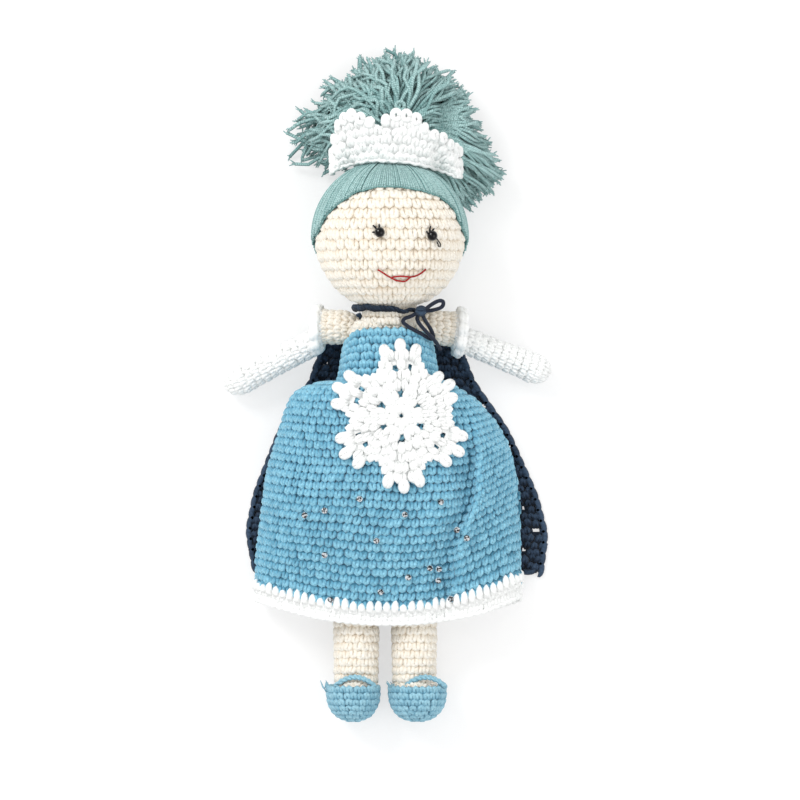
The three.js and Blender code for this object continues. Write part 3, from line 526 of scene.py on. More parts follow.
def rounds(rings, width, sides=6, plump=0.29, skip=None, closed=True, up=None, sink=1.0, loose=1.0):
    """The stitches between each two rings, as one batch of arches.

    skip says which places stay empty, up is the outer side of flat work, sink is how deep the
    arches' ends go in, and loose is how uneven the hand is.
    """
    heart = np.concatenate(rings).mean(0)
    arches, radii, ups = [], [], []
    for row, (low, high) in enumerate(zip(rings[:-1], rings[1:])):
        length = (path_length(low, closed) + path_length(high, closed)) / 2
        count = max(5, round(length / width))
        phase = FIRST_PHASE + 0.5 * (row % 2) + (ROW_DRIFT * row if closed else 0)
        here = even_points(low, count, phase, closed)
        there = even_points(high, count, phase, closed)
        across = (neighbours(here, closed) + neighbours(there, closed)) / 2
        climb = there - here
        out = unit(np.cross(across, climb))
        facing = (here + there) / 2 - heart if up is None else np.asarray(up, float)
        out = out * np.sign((out * facing).sum())
        if skip is not None:
            keep = ~skip(here + climb / 2)
            here, across, climb, out = here[keep], across[keep], climb[keep], out[keep]
        if not len(here):
            continue
        radius = plump * min(width, np.linalg.norm(across, axis=1).mean())
        shift = loose * DRAWS.normal(0, HAND_SHIFT, (2, len(here), 1))
        here = here + shift[0] * across + shift[1] * climb
        climb = climb + loose * DRAWS.normal(0, HAND_LEAN, (len(here), 1)) * across
        fat = radius * (1 + loose * DRAWS.normal(0, HAND_THICKNESS, (len(here), 1)))
        arches.append(
            here[:, None]
            + ARCH_ACROSS_SHARES[:, None] * across[:, None]
            + ARCH_UP_SHARES[:, None] * climb[:, None]
            + sink * ARCH_OUT_SHARES[:, None] * out[:, None] * radius
        )
        radii.append(ARCH_RADIUS_SHARES * fat)
        ups.append(np.broadcast_to(out[:, None], arches[-1].shape))
    return strands(
        np.concatenate(arches), np.concatenate(radii), np.concatenate(ups), sides,
        depth=ARCH_SHADE_SHARES, groove_shade=0.15,
    )


def inset(rings, depth):
    """The same rings moved inwards, square to the surface."""
    grid = np.asarray(rings)
    across = np.roll(grid, -1, 1) - np.roll(grid, 1, 1)
    climb = np.gradient(grid, axis=0)
    out = unit(np.cross(across, climb))
    heart = grid.reshape(-1, 3).mean(0)
    out *= np.sign((out * (grid - heart)).sum())
    return grid - out * depth


def behind(rings, radius, wall=None):
    """The cloth behind rounds of stitches: close to them in each row, deep where two rows meet."""
    halves = np.repeat(np.asarray(rings), 2, 0)[:-1]
    halves[1::2] = (halves[:-1:2] + halves[2::2]) / 2
    odd = np.arange(len(halves)) % 2
    back = inset(halves, (radius * np.where(odd, BACK_NEAR, BACK_DEEP))[:, None, None])
    # Painted shade: darkest where two rows meet, lighter in each row and on the inside wall.
    shade = np.where(odd, BACK_SHADE, 0.0)
    if wall is None:
        return lining(back, shade=shade)
    inside = np.full(len(halves), INSIDE_SHADE)
    return lining(back, wall=inset(halves, wall), shade=np.r_[shade, inside])


def crocheted(name, rings, width, material, plump=0.29, skip=None, snug=1.0):
    """A stuffed form: stitches over a closed lining, which a snug below 1 brings nearer to them."""
    back = behind(rings, snug * plump * width)
    return piece(name, [back, rounds(rings, width, plump=plump, skip=skip)], material)


def worked_cloth(name, rings, width, row, material, wall, plump=0.29, sides=6):
    """An open tube of cloth: its ground, the stitches on it, and the size it was worked to."""
    back = behind(rings, plump * width, wall)
    ground = piece(f"{name}_ground", [back], material)
    stitches = piece(f"{name}_yarn", [rounds(rings, width, sides, plump=plump)], material)
    lengths = [path_length(ring) for ring in rings]
    flat = (max(lengths) * MM, row * (len(rings) - 1) * MM)
    area = float(np.mean(lengths)) * MM * flat[1]
    print(name, "flat:", np.round(flat, 4), "m, area:", round(area, 5), "square metres")
    return ground, stitches, flat, area


def rings_between(place, start, stop, spacing, around=96, samples=60):
    """Rings a row apart along a form. place(share, angles) gives a ring at a share of its way."""
    angles = full_turn(around)
    fine = np.linspace(start, stop, samples)
    ways = [place(share, angles) for share in fine]
    steps = [np.median(np.linalg.norm(b - a, axis=1)) for a, b in zip(ways[:-1], ways[1:])]
    run = np.r_[0, np.cumsum(steps)]
    rows = max(2, round(run[-1] / spacing))
    shares = np.interp(np.linspace(0, run[-1], rows + 1), run, fine)
    return [place(share, angles) for share in shares]


def along_profile(places, radii, ring_at):
    """A ring for each share of the way from the first place to the last, as wide as its radius."""
    def ring(share, angles):
        at = places[0] + share * (places[-1] - places[0])
        return ring_at(at, float(np.interp(at, places, radii)), angles)
    return ring


# %% [markdown]
# The head is a stuffed ball, worked from the crown down in level rounds, so its rows run across
# the face. Near the neck it draws in quickly. It is one closed form of stitches.

# %% Head
HEAD_CENTRE = np.array([-0.75, 74.0, 39.0])
HEAD_RADIUS = 37.5
HEAD_ROW = 5.4
HEAD_STITCH = 4.7
CROWN_GAP = 0.04
THROAT_DROP = 32.4
THROAT_SHARE = 0.94
THROAT_RADIUS = 18.9
NECK_OPENING = 14.4
FLOOR_FALL = 1.3
TURN_AXIS_DROP = 3.0


def head_ring(share, angles):
    """A level ring of the head: share 0 is the crown, and past the throat it turns in."""
    highest = math.pi / 2 - CROWN_GAP
    lowest = math.asin(THROAT_DROP / HEAD_RADIUS)
    latitude = highest - min(share / THROAT_SHARE, 1) * (highest + lowest)
    inward = max(0.0, (share - THROAT_SHARE) / (1 - THROAT_SHARE))
    radius = HEAD_RADIUS * math.cos(latitude) - inward * (THROAT_RADIUS - NECK_OPENING)
    y = HEAD_RADIUS * math.sin(latitude) - FLOOR_FALL * inward
    sink = TURN_AXIS_DROP * inward
    ring = np.stack([radius * np.sin(angles), y + 0 * angles, radius * np.cos(angles) - sink], 1)
    return HEAD_CENTRE + ring


head_rings = rings_between(head_ring, 0, 1, HEAD_ROW)
head = crocheted("head_skin_yarn", head_rings, HEAD_STITCH, CREAM, plump=0.3, snug=0.88)
dress(head, "head", "cream_yarn", "head_skin")

# %% [markdown]
# The neck is a short stuffed tube between shoulders and head. It leans towards the chin.


# %% Neck
BODY_ROW = 4.1
BODY_STITCH = 4.3
NECK_FOOT = 30.0
NECK_LENGTH = 15.5
NECK_RADIUS = 14.6
NECK_SLIMMER = 1.2
NECK_HEIGHT = 32.0
NECK_RISE = 4.2


def tube_ring(centre, half_width, half_depth, angles):
    """A level ring across the body: its own x and z, at one y."""
    x = centre[0] + half_width * np.cos(angles)
    z = centre[2] + half_depth * np.sin(angles)
    return np.stack([x, np.full_like(angles, centre[1]), z], 1)


def neck_ring(share, angles):
    centre = (NECK_PIVOT[0], NECK_FOOT + NECK_LENGTH * share, NECK_HEIGHT + NECK_RISE * share)
    radius = NECK_RADIUS - NECK_SLIMMER * math.sin(math.pi * share)
    return tube_ring(centre, radius, radius, angles)


neck_rings = rings_between(neck_ring, 0, 1, BODY_ROW)
neck = crocheted("neck_yarn", neck_rings, BODY_STITCH, CREAM, snug=0.8)
dress(neck, "neck", "cream_yarn", "neck")

# %% [markdown]
# The trunk narrows at the waist and hips. Its sections are shares of its width and depth at
# shares of its length, as in its solid, and it rounds over into the neck. Only the shoulders
# and the hips can show, so the rows under the dress are left out of the stitches.

# %% Trunk
TRUNK_X = -1.5
TRUNK_TOP = 34.0
TRUNK_LENGTH = 92.0
TRUNK_HALF_WIDTH = 26.5
TRUNK_HALF_DEPTH = 20.5
TRUNK_HEIGHT = 26.0
TRUNK_SHARES = [0, 0.03, 0.08, 0.2, 0.34, 0.6, 0.82, 1.0, 1.2]
WIDTH_SHARES = [0.45, 0.66, 0.74, 0.79, 0.86, 0.95, 0.98, 1.0, 1.0]
DEPTH_SHARES = [0.5, 0.74, 0.86, 0.95, 1.0, 1.0, 1.0, 0.95, 0.9]
LIFT_SHARES = [0.2, 0.15, 0.06, 0.01, 0, 0, 0, 0, 0]
SHOULDER_START = 36.5
SHOULDER_RUN = 84.0
NECKLINE_SHARE = 0.03
NECKLINE_RADIUS = 12.0
NECKLINE_HEIGHT = 31.0
TRUNK_STITCH_TOP = TRUNK_TOP - 0.4
COVERED_FROM, COVERED_TO = 18.0, -38.0


def trunk_ring(y, angles, grow=0.0):
    share = (TRUNK_TOP - y) / TRUNK_LENGTH
    half_width = TRUNK_HALF_WIDTH * np.interp(share, TRUNK_SHARES, WIDTH_SHARES) + grow
    half_depth = TRUNK_HALF_DEPTH * np.interp(share, TRUNK_SHARES, DEPTH_SHARES) + grow
    height = TRUNK_HEIGHT * (1 + np.interp(share, TRUNK_SHARES, LIFT_SHARES))
    return tube_ring((TRUNK_X, y, height), half_width, half_depth, angles)


def shoulder_ring(share, angles):
    """From the neck's foot, over the shoulders and down the trunk."""
    y = SHOULDER_START - share * SHOULDER_RUN
    if share >= NECKLINE_SHARE:
        return trunk_ring(min(y, TRUNK_STITCH_TOP), angles)
    blend = share / NECKLINE_SHARE
    centre = (NECK_PIVOT[0], y, NECKLINE_HEIGHT)
    neckline = tube_ring(centre, NECKLINE_RADIUS, NECKLINE_RADIUS, angles)
    return neckline * (1 - blend) + trunk_ring(TRUNK_STITCH_TOP, angles) * blend


def under_the_dress(points):
    return (points[:, 1] < COVERED_FROM) & (points[:, 1] > COVERED_TO)


trunk_rings = rings_between(shoulder_ring, 0, 1, BODY_ROW)
trunk = crocheted(
    "torso_skin_yarn", trunk_rings, BODY_STITCH, CREAM, skip=under_the_dress, snug=0.8)
dress(trunk, "torso", "cream_yarn", "torso_skin")

# %% [markdown]
# The hips are a cushion that the legs are sewn to. They turn in the trunk when the doll sits.

# %% Hips
HIP_CENTRE = in_pattern(JOINTS["sit"]["pos_m"])
HIP_HALF_WIDTH = 26.5
HIP_RADIUS = 19.0
HIP_END_GAP = 0.1


def hip_ring(share, angles):
    highest = math.pi / 2 - HIP_END_GAP
    latitude = highest - share * 2 * highest
    reach = math.cos(latitude)
    centre = HIP_CENTRE + np.array([0, HIP_RADIUS * math.sin(latitude), 0])
    return tube_ring(centre, HIP_HALF_WIDTH * reach, HIP_RADIUS * reach, angles)


hips = crocheted("hips_yarn", rings_between(hip_ring, 0, 1, BODY_ROW), BODY_STITCH, CREAM)
dress(hips, "hips", "cream_yarn", "hips")

# %% [markdown]
# Each arm is two tubes: a cream upper arm, and a long white glove that starts at a frilled cuff
# and ends in a round hand. Both are worked along lines that leave the shoulder, which is the
# joint's place. The upper arm leaves it more level than the glove does.

# %% Arms
LIMB_POINTS = 48
SLEEVE_ROW, SLEEVE_STITCH = 4.0, 4.2
GLOVE_ROW, GLOVE_STITCH = 3.9, 4.0
CUFF_STITCH = 4.0
CUFF_DEPTH, CUFF_WALL = 1.5, 2.6
SLEEVE_RADIUS = 8.5
SLEEVE_END = 11.5
SLEEVE_PLACES = [-8.6, -6.6, -3.0, 0.0, SLEEVE_END]
SLEEVE_RADII = [2.0, 5.4, 7.9, SLEEVE_RADIUS, SLEEVE_RADIUS + 0.3]
SLEEVE_DIRECTIONS = {"right": (-1.0, 0.02, -0.16), "left": (1.0, -0.1, -0.16)}
GLOVE_PLACES = np.array([13.2, 15.5, 19.0, 34.0, 50.0, 56.0, 60.0, 62.6, 64.2, 65.0])
GLOVE_RADII = [5.2, 6.4, 6.6, 6.8, 7.2, 7.8, 6.8, 5.2, 3.4, 1.4]
GLOVE_DIRECTIONS = {"right": (-57.75, -29.0, -13.0), "left": (59.75, -24.0, -13.0)}
GLOVE_LONGER = {"right": 3.6, "left": 0.0}
LONGER_SHARES = np.array([0, 0, 0, 0.3, 0.8, 1, 1, 1, 1, 1])
# How far past the sleeve, how wide, how much lower and how wavy the cuff is, ring by ring.
CUFF_FLARE = [(-1.2, 9.5, 0.5, 0), (1.2, 10.1, 1.0, 0.3), (3.2, 10.9, 1.6, 1.2)]


def arm_ring(side, direction, at, radius, angles):
    """A ring square to a line that leaves the shoulder in a direction."""
    shoulder = in_pattern(JOINTS[f"shoulder_{side}"]["pos_m"])
    along = unit(np.array(direction))
    level = unit(np.cross((0, 0, 1), along))
    around = np.cos(angles)[:, None] * level + np.sin(angles)[:, None] * np.cross(along, level)
    return shoulder + at * along + radius * around


def arm_tube(side, direction, places, radii, row):
    def ring_at(at, radius, angles):
        return arm_ring(side, direction, at, radius, angles)
    return rings_between(along_profile(places, radii, ring_at), 0, 1, row, LIMB_POINTS)


def frill(side):
    """A cuff: a flared round of stitches with a frilled edge, which sags a little towards the feet."""
    angles = full_turn(96)
    band = []
    for past_sleeve, radius, lower, wave in CUFF_FLARE:
        ring = arm_ring(side, SLEEVE_DIRECTIONS[side], SLEEVE_END + past_sleeve, 1.0, angles)
        ring = ring - (0, lower, 0)
        middle = ring.mean(0)
        ruffle = wave * (np.cos(9 * angles) + 0.5 * np.cos(5 * angles + 1)) / 1.3
        band.append(middle + (ring - middle) * (radius + ruffle)[:, None])
    shell = lining(inset(band, CUFF_DEPTH), wall=inset(band, CUFF_WALL))
    outward = unit(band[-1] - band[-1].mean(0))
    edges = [band[-1] - 0.7 * outward, band[-1] * 0.2 + band[-2] * 0.8 + 0.3 * outward]
    puffs = [1.9 + 0.3 * np.sin(11 * angles), 1.8 + 0.3 * np.cos(9 * angles)]
    rims = strands(edges, puffs, [outward, outward], 8, True, depth=0.95)
    return [shell, rounds(band, CUFF_STITCH, plump=0.3), rims]


for side in ("right", "left"):
    sleeve = arm_tube(side, SLEEVE_DIRECTIONS[side], SLEEVE_PLACES, SLEEVE_RADII, SLEEVE_ROW)
    upper = crocheted(f"upper_arm_{side}_yarn", sleeve, SLEEVE_STITCH, CREAM, plump=0.3, snug=0.75)
    dress(upper, f"upper_arm_{side}", "cream_yarn", f"upper_arm_{side}")
    glove_places = GLOVE_PLACES + GLOVE_LONGER[side] * LONGER_SHARES
    palm = arm_tube(side, GLOVE_DIRECTIONS[side], glove_places, GLOVE_RADII, GLOVE_ROW)
    glove = crocheted(f"glove_{side}_yarn", palm, GLOVE_STITCH, WHITE, plump=0.31, snug=0.75)
    dress(glove, f"forearm_{side}", "white_yarn", f"glove_{side}")
    cuff = piece(f"glove_cuff_{side}_yarn", frill(side), WHITE)
    dress(cuff, f"upper_arm_{side}", "white_yarn", f"glove_cuff_{side}")

# %% [markdown]
# A leg is a tube that ends in a foot, worked in one piece. The foot is a short oval that points
# up from the table, because the doll lies on its back.

# %% Legs
LEG_X = -3.1
LEG_SPREAD = 14.5
LEG_RADIUS = 12.0
LEG_ROW, LEG_STITCH = 4.0, 4.3
FOOT_STITCH = 4.2
LEG_TOP = np.array([0, -64.0, 20.5])
ANKLE = np.array([0, -147.0, 16.5])
LEG_PLACES = [-0.13, -0.1, -0.04, 0.0, 0.4, 0.8, 1.0, 1.06, 1.11]
LEG_RADII = [2.5, 7.0, 11.0, LEG_RADIUS, 11.7, 11.3, 11.0, 10.8, 8.6]
LEG_SIDES = {"right": -1, "left": 1}
FOOT_CENTRE = np.array([0, -154.2, 17.2])
FOOT_REACH = np.array([11.2, 9.6, 15.0])
FOOT_END_GAP = 0.15
FOOT_SHIFT_SHARE = 0.8
SHOE_SHIFTS = {"right": -1.5, "left": 1.6}


def leg_x(side):
    return LEG_X + LEG_SIDES[side] * LEG_SPREAD


def leg_ring(side):
    def ring_at(place, radius, angles):
        centre = LEG_TOP + place * (ANKLE - LEG_TOP) + (leg_x(side), 0, 0)
        return tube_ring(centre, radius, radius, angles)
    return along_profile(LEG_PLACES, LEG_RADII, ring_at)


def foot_ring(side):
    def ring(share, angles):
        latitude = (share - 0.5) * (math.pi - 2 * FOOT_END_GAP)
        reach = math.cos(latitude)
        middle = leg_x(side) + FOOT_SHIFT_SHARE * SHOE_SHIFTS[side]
        centre = FOOT_CENTRE + (middle, 0, FOOT_REACH[2] * math.sin(latitude))
        x = centre[0] + FOOT_REACH[0] * reach * np.cos(angles)
        y = centre[1] + FOOT_REACH[1] * reach * np.sin(angles)
        return np.stack([x, y, np.full_like(angles, centre[2])], 1)
    return ring


def leg_batches(side):
    limb = rings_between(leg_ring(side), 0, 1, LEG_ROW, LIMB_POINTS)
    foot = rings_between(foot_ring(side), 0, 1, FOOT_STITCH, LIMB_POINTS)
    return [
        behind(limb, radius=0.95), rounds(limb, LEG_STITCH, plump=0.3),
        behind(foot, radius=1.2), rounds(foot, FOOT_STITCH, plump=0.3),
    ]


for side in LEG_SIDES:
    leg = piece(f"leg_{side}_yarn", leg_batches(side), CREAM)
    dress(leg, f"leg_{side}", "cream_yarn", f"leg_{side}")

# %% [markdown]
# A shoe is a cup of fine rounds that starts from a closed oval sole, in a slightly greyer blue. A
# thin strap of two twisted strands arches over the instep, with a gap under it.

# %% Shoes and straps
SHOE_ROW, SHOE_STITCH = 3.4, 3.7
SHOE_WALL = 2.4
SHOE_REACH = (13.7, 17.3)
SHOE_PLACES = [-168.9, -168.3, -166.8, -164.7, -161.5, -157.5, -153.5, -150.8]
SHOE_SHARES = [0.06, 0.34, 0.58, 0.76, 0.9, 0.98, 1.0, 0.985]
SHOE_WIDTHS = {"right": 1.0, "left": 1.08}
SHOE_HIGHER = 0.2
STRAP_SHIFTS = {"right": -0.6, "left": 5.6}
STRAP_RADIUS = 0.85
STRAP_REACH = 10.4
STRAP_Y = -146.0
STRAP_TOP = 30.2
STRAP_SAG = 5.0
STRAP_TWISTS = 4.5
LOOSE_ENDS = 9
LOOSE_ROOT = (-13.0, -151.6, 19.0)
LOOSE_LEAN = (-0.6, 2.6, 0.8)


def shoe_ring(side):
    def ring(share, angles):
        steps = np.linspace(0, 1, len(SHOE_PLACES))
        y = float(np.interp(share, steps, SHOE_PLACES))
        scale = float(np.interp(share, steps, SHOE_SHARES))
        centre = (leg_x(side) + SHOE_SHIFTS[side], y, FOOT_CENTRE[2] + SHOE_HIGHER)
        half_width = SHOE_REACH[0] * SHOE_WIDTHS[side] * scale
        return tube_ring(centre, half_width, SHOE_REACH[1] * scale, angles)
    return ring


def strap(side):
    share = np.linspace(-1, 1, 25)
    sag = STRAP_SAG * share ** 2
    x = leg_x(side) + STRAP_SHIFTS[side] + STRAP_REACH * share
    middle = np.stack([x, STRAP_Y - sag, STRAP_TOP - sag], 1)
    turn = share * math.pi * STRAP_TWISTS
    paths = []
    for start in (0, math.pi):
        offset = np.stack([0 * turn, np.cos(turn + start), np.sin(turn + start)], 1)
        paths.append(middle + STRAP_RADIUS * 0.8 * offset)
    return [strands(paths, STRAP_RADIUS, (0, 0.3, 1), 8, depth=0.7)]


def loose_ends(side):
    """Cut yarn ends at the seam where each strap starts."""
    start = np.array(LOOSE_ROOT) + (leg_x(side) + SHOE_SHIFTS[side], 0, 0)
    start = start + DRAWS.normal(0, 1, (LOOSE_ENDS, 3)) * (0.9, 0.7, 2.5)
    lean = np.array(LOOSE_LEAN) + DRAWS.normal(0, 0.9, (LOOSE_ENDS, 3))
    steps = np.linspace(0, 1, 4)[:, None]
    return strands(start[:, None] + steps * lean[:, None], [0.5, 0.4, 0.3, 0.16], (0.1, 0.2, 1), 5)


for side in LEG_SIDES:
    cup = rings_between(shoe_ring(side), 0, 1, SHOE_ROW, LIMB_POINTS)
    shell = behind(cup, radius=1.15, wall=SHOE_WALL)
    stitches = rounds(cup, SHOE_STITCH, plump=0.31)
    shoe = piece(f"shoe_{side}_yarn", [shell, stitches, loose_ends(side)], SHOE_BLUE)
    dress(shoe, f"leg_{side}", "shoe_yarn", f"shoe_{side}")
    lace = piece(f"shoe_strap_{side}_yarn", strap(side), SHOE_BLUE)
    dress(lace, f"leg_{side}", "shoe_yarn", f"shoe_strap_{side}")

# %% [markdown]
# The bodice is a close tube of cloth. Its top edge dips under the arms.

# %% Bodice
BODICE_TOP = 28.2
WAIST = 3.0
ARMHOLE_DIP = 6.5
BODICE_ROW, BODICE_STITCH = 4.0, 4.2
BODICE_WALL = 2.7
BODICE_FOOT = WAIST - 2.5
BODICE_EASE = 3.2


def bodice_ring(share, angles):
    ring = trunk_ring(BODICE_FOOT + share * (BODICE_TOP - BODICE_FOOT), angles, BODICE_EASE)
    ring[:, 1] -= ARMHOLE_DIP * share * np.abs(np.cos(angles)) ** 5
    return ring


bodice_rings = rings_between(bodice_ring, 0, 1, BODICE_ROW)
bodice_ground, bodice, bodice_flat, bodice_area = worked_cloth(
    "dress_bodice", bodice_rings, BODICE_STITCH, BODICE_ROW, BLUE, wall=BODICE_WALL)
dress(bodice_ground, "torso", "blue_yarn")
dress(bodice, "torso", "blue_yarn", "dress_bodice")

# %% [markdown]
# The skirt is a bell of cloth that has fallen flat over the legs: high in the middle, thin at its
# sides, level on the table. One deep fold runs down its left half, where the cloth is doubled
# under, and the rows beyond it climb. Its hem is two white rounds, with teeth worked up into the
# blue and a waved edge.

# %% Skirt shape
SKIRT_X = -1.0
SKIRT_LENGTH = 122.0
SKIRT_HALF_WIDTH = 68.0
SKIRT_TOP = 50.0
SKIRT_BACK = 2.65
HEM = 7.0
SIDE_SHORTER = 0.1
RIGHT_PLACES = [0, 0.02, 0.05, 0.1, 0.23, 0.39, 0.57, 0.73, 1]
RIGHT_SHARES = [0.4, 0.6, 0.7, 0.755, 0.83, 0.915, 0.955, 0.99, 1]
LEFT_PLACES = [0, 0.04, 0.086, 0.2, 0.33, 0.49, 0.66, 0.83, 1]
LEFT_SHARES = [0.4, 0.53, 0.65, 0.79, 0.885, 0.94, 0.96, 0.97, 0.99]
TOP_PLACES = [0, 0.1, 0.3, 0.52, 0.66, 0.82, 1]
TOP_SHARES = [0.99, 1.02, 1.0, 0.97, 0.9, 0.77, 0.71]
EDGE_PLACES = [0, 0.06, 0.14, 0.3, 0.6, 1]
EDGE_SHARES = [0.52, 0.46, 0.36, 0.26, 0.21, 0.19]
FOLD_PLACES = [0, 0.31, 0.48, 0.556, 0.61, 0.71, 0.785, 0.86, 1]
FOLD_LINE = [37.0, 39.8, 39.3, 36.6, 33.0, 29.8, 28.3, 27.3, 26.5]
FOLD_DEPTH_PLACES = [0, 0.15, 0.32, 0.5, 0.7, 0.9, 1]
FOLD_DEPTHS = [0, 2.0, 7.0, 8.0, 6.0, 4.0, 3.0]
FOLD_NEAR_WIDTH = 6.5
FOLD_FAR_WIDTH = 2.4
FOLD_BEYOND = 12.0
FOLD_BEYOND_REACH = 30.0
LIP_PLACE, LIP_WIDTH, LIP_SHARE = 6.0, 5.0, 0.3
SOFTNESS = 0.8
GATHERS = 1.3
SWAY = 0.7


def skirt_fold(x, down, across):
    """How far folds, gathers and the softness of the cloth raise or lower it."""
    valley = x - np.interp(down, FOLD_PLACES, FOLD_LINE)
    width = np.where(valley < 0, FOLD_NEAR_WIDTH, FOLD_FAR_WIDTH)
    deep = np.interp(down, FOLD_DEPTH_PLACES, FOLD_DEPTHS)
    notch = deep * np.exp(-(valley / width) ** 2)
    lip = LIP_SHARE * deep * np.exp(-((valley - LIP_PLACE) / LIP_WIDTH) ** 2)
    soft = np.sin(x / 8.5 + 2.2 * down) * np.sin(10 * down - x / 27)
    soft = SOFTNESS * (soft + 0.6 * np.sin(x / 4.3 - 9 * down))
    gathers = GATHERS * np.cos(x / 2.6) * np.exp(-12 * down)
    return (1 - across ** 4) * (np.minimum(1, 5 * down) * (soft + lip - notch) + gathers)


def skirt_ring(share, angles):
    c = np.cos(angles)
    y = WAIST - SKIRT_LENGTH * share * (1 - SIDE_SHORTER * c * c)
    down = np.clip((WAIST - y) / SKIRT_LENGTH, 0, 1)
    right = SKIRT_HALF_WIDTH * np.interp(down, RIGHT_PLACES, RIGHT_SHARES)
    left = SKIRT_HALF_WIDTH * np.interp(down, LEFT_PLACES, LEFT_SHARES)
    top = SKIRT_TOP * np.interp(down, TOP_PLACES, TOP_SHARES)
    edge = SKIRT_TOP * np.interp(down, EDGE_PLACES, EDGE_SHARES)
    x = SKIRT_X + c * np.where(c < 0, right, left)
    across = np.abs(c)
    front = edge + (top - edge) * (1 - across ** 3) ** 0.6 + skirt_fold(x, down, across)
    back = edge - (edge - SKIRT_BACK) * np.sqrt(np.clip(1 - across ** 4, 0, 1))
    past = np.clip((x - np.interp(down, FOLD_PLACES, FOLD_LINE)) / FOLD_BEYOND_REACH, 0, 1)
    rise = FOLD_BEYOND * past * np.sin(np.clip(down * 1.05, 0, 1) * math.pi)
    sway = SWAY * np.sin(x / 12 + 6 * down) * np.sin(down * math.pi)
    y = y + np.where(np.sin(angles) >= 0, rise + sway, 0)
    return np.stack([x, y, np.where(np.sin(angles) >= 0, front, back)], 1)


# %% Skirt and hem
HEM_SHARE = 1 - HEM / SKIRT_LENGTH
SKIRT_POINTS = 160
SKIRT_ROW, SKIRT_STITCH = 4.05, 4.1
HEM_ROUNDS, HEM_STITCH = 2, 4.3
SKIRT_WALL = 3.2
INSIDE_DEPTH = 3.0
INSIDE_ROUNDS = 8
TOOTH_SPACING = 4.2
TOOTH_SHARES = np.array([-0.5, 0.3, 0.75, 1.15])
TOOTH_OUT = np.array([-0.9, -0.1, -0.2, -0.9])
TOOTH_RADII = [2.1, 2.0, 1.6, 0.8]
TOOTH_REACH = 0.034
EDGE_POINTS = 480
EDGE_WAVE = 0.75
skirt_rings = rings_between(skirt_ring, 0.0, HEM_SHARE, SKIRT_ROW, SKIRT_POINTS)
skirt_ground, skirt, skirt_flat, skirt_area = worked_cloth(
    "dress_skirt", skirt_rings, SKIRT_STITCH, SKIRT_ROW, BLUE, wall=SKIRT_WALL, sides=5)
inner_rings = list(inset(skirt_rings, INSIDE_DEPTH)[-1 - INSIDE_ROUNDS:])
inner_stitches = rounds(inner_rings, SKIRT_STITCH, 5, sink=-0.9)
inner = piece("dress_skirt_inside_yarn", [inner_stitches], BLUE)
print("skirt rounds:", len(skirt_rings) - 1)


def hem_batches():
    angles = full_turn(SKIRT_POINTS)
    band = [skirt_ring(share, angles) for share in (HEM_SHARE, 1.0)]
    heart = np.concatenate(band).mean(0)
    count = round(path_length(band[0]) / TOOTH_SPACING)
    root = even_points(band[0], count)
    climb = even_points(skirt_ring(HEM_SHARE - TOOTH_REACH, angles), count) - root
    out = unit(np.cross(np.roll(root, -1, 0) - root, climb))
    out *= np.sign(np.einsum("ij,ij->i", out, root - heart))[:, None]
    tall = 0.4 + 0.6 * DRAWS.random((count, 1, 1))
    teeth = root[:, None] + TOOTH_SHARES[:, None] * climb[:, None] * tall
    teeth = teeth + TOOTH_OUT[:, None] * out[:, None]
    spikes = strands(teeth, TOOTH_RADII, out[:, None], 6, depth=[0.9, 1, 1, 0.8])
    edge = even_points(band[1], EDGE_POINTS)
    wave = EDGE_WAVE * np.abs(np.sin(np.arange(EDGE_POINTS) * math.pi / 6.4))[:, None] * (0, -1, 0)
    cord = strands([edge - 0.9 * unit(edge - heart) + wave], 1.3, (0, 1, 0.01), 6, True, depth=0.95)
    inner_shares = (HEM_SHARE, HEM_SHARE + 0.03, 1.0)
    inner_band = inset([skirt_ring(share, angles) for share in inner_shares], INSIDE_DEPTH)
    inner_row = rounds(list(inner_band[::2]), SKIRT_STITCH, 5, sink=-0.9)
    worked = [skirt_ring(share, angles) for share in np.linspace(HEM_SHARE, 1.0, HEM_ROUNDS + 1)]
    outer_rows = rounds(worked, HEM_STITCH, plump=0.35)
    return [behind(band, radius=0.9, wall=SKIRT_WALL), outer_rows, inner_row, spikes, cord]


hem = piece("skirt_hem_yarn", hem_batches(), WHITE)
stand_for(skirt_ground, "blue_yarn")
stand_for(skirt, "blue_yarn", "dress_skirt")
stand_for(inner, "blue_yarn")
stand_for(hem, "white_yarn", "skirt_hem")
for cloth in (skirt_ground, skirt, inner, hem):
    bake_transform(cloth)

# %% [markdown]
# What is sewn on the dress has to lie on its stitches. A ray from above finds the cloth under any
# point, and the highest of a few neighbours keeps a stiff trim out of the dips between stitches.

# %% The top of the dress
depsgraph = bpy.context.evaluated_depsgraph_get()
dress_trees = [BVHTree.FromObject(cloth, depsgraph) for cloth in (skirt, bodice)]
SKY = 0.2
GROUND = 0.3 * SKIRT_TOP
GRID_STEP = 2.0
WINDOW = 5


def cloth_height(x, y):
    start = Vector(in_frame((x, y, 0)))
    start.z = SKY
    best = GROUND
    for tree in dress_trees:
        hit = tree.ray_cast(start, Vector((0, 0, -1)))[0]
        if hit is not None:
            best = max(best, float(in_pattern(hit)[2]))
    return best


def windows(table):
    """The square of neighbours round each place of a table."""
    wider = np.pad(table, WINDOW // 2, mode="edge")
    return np.lib.stride_tricks.sliding_window_view(wider, (WINDOW, WINDOW))


grid_x = np.arange(-48, 62, GRID_STEP)
grid_y = np.arange(-125, 32, GRID_STEP)
heights = np.array([[cloth_height(x, y) for y in grid_y] for x in grid_x])
highest = windows(heights).max((2, 3))
smoothed = windows(highest).mean((2, 3))


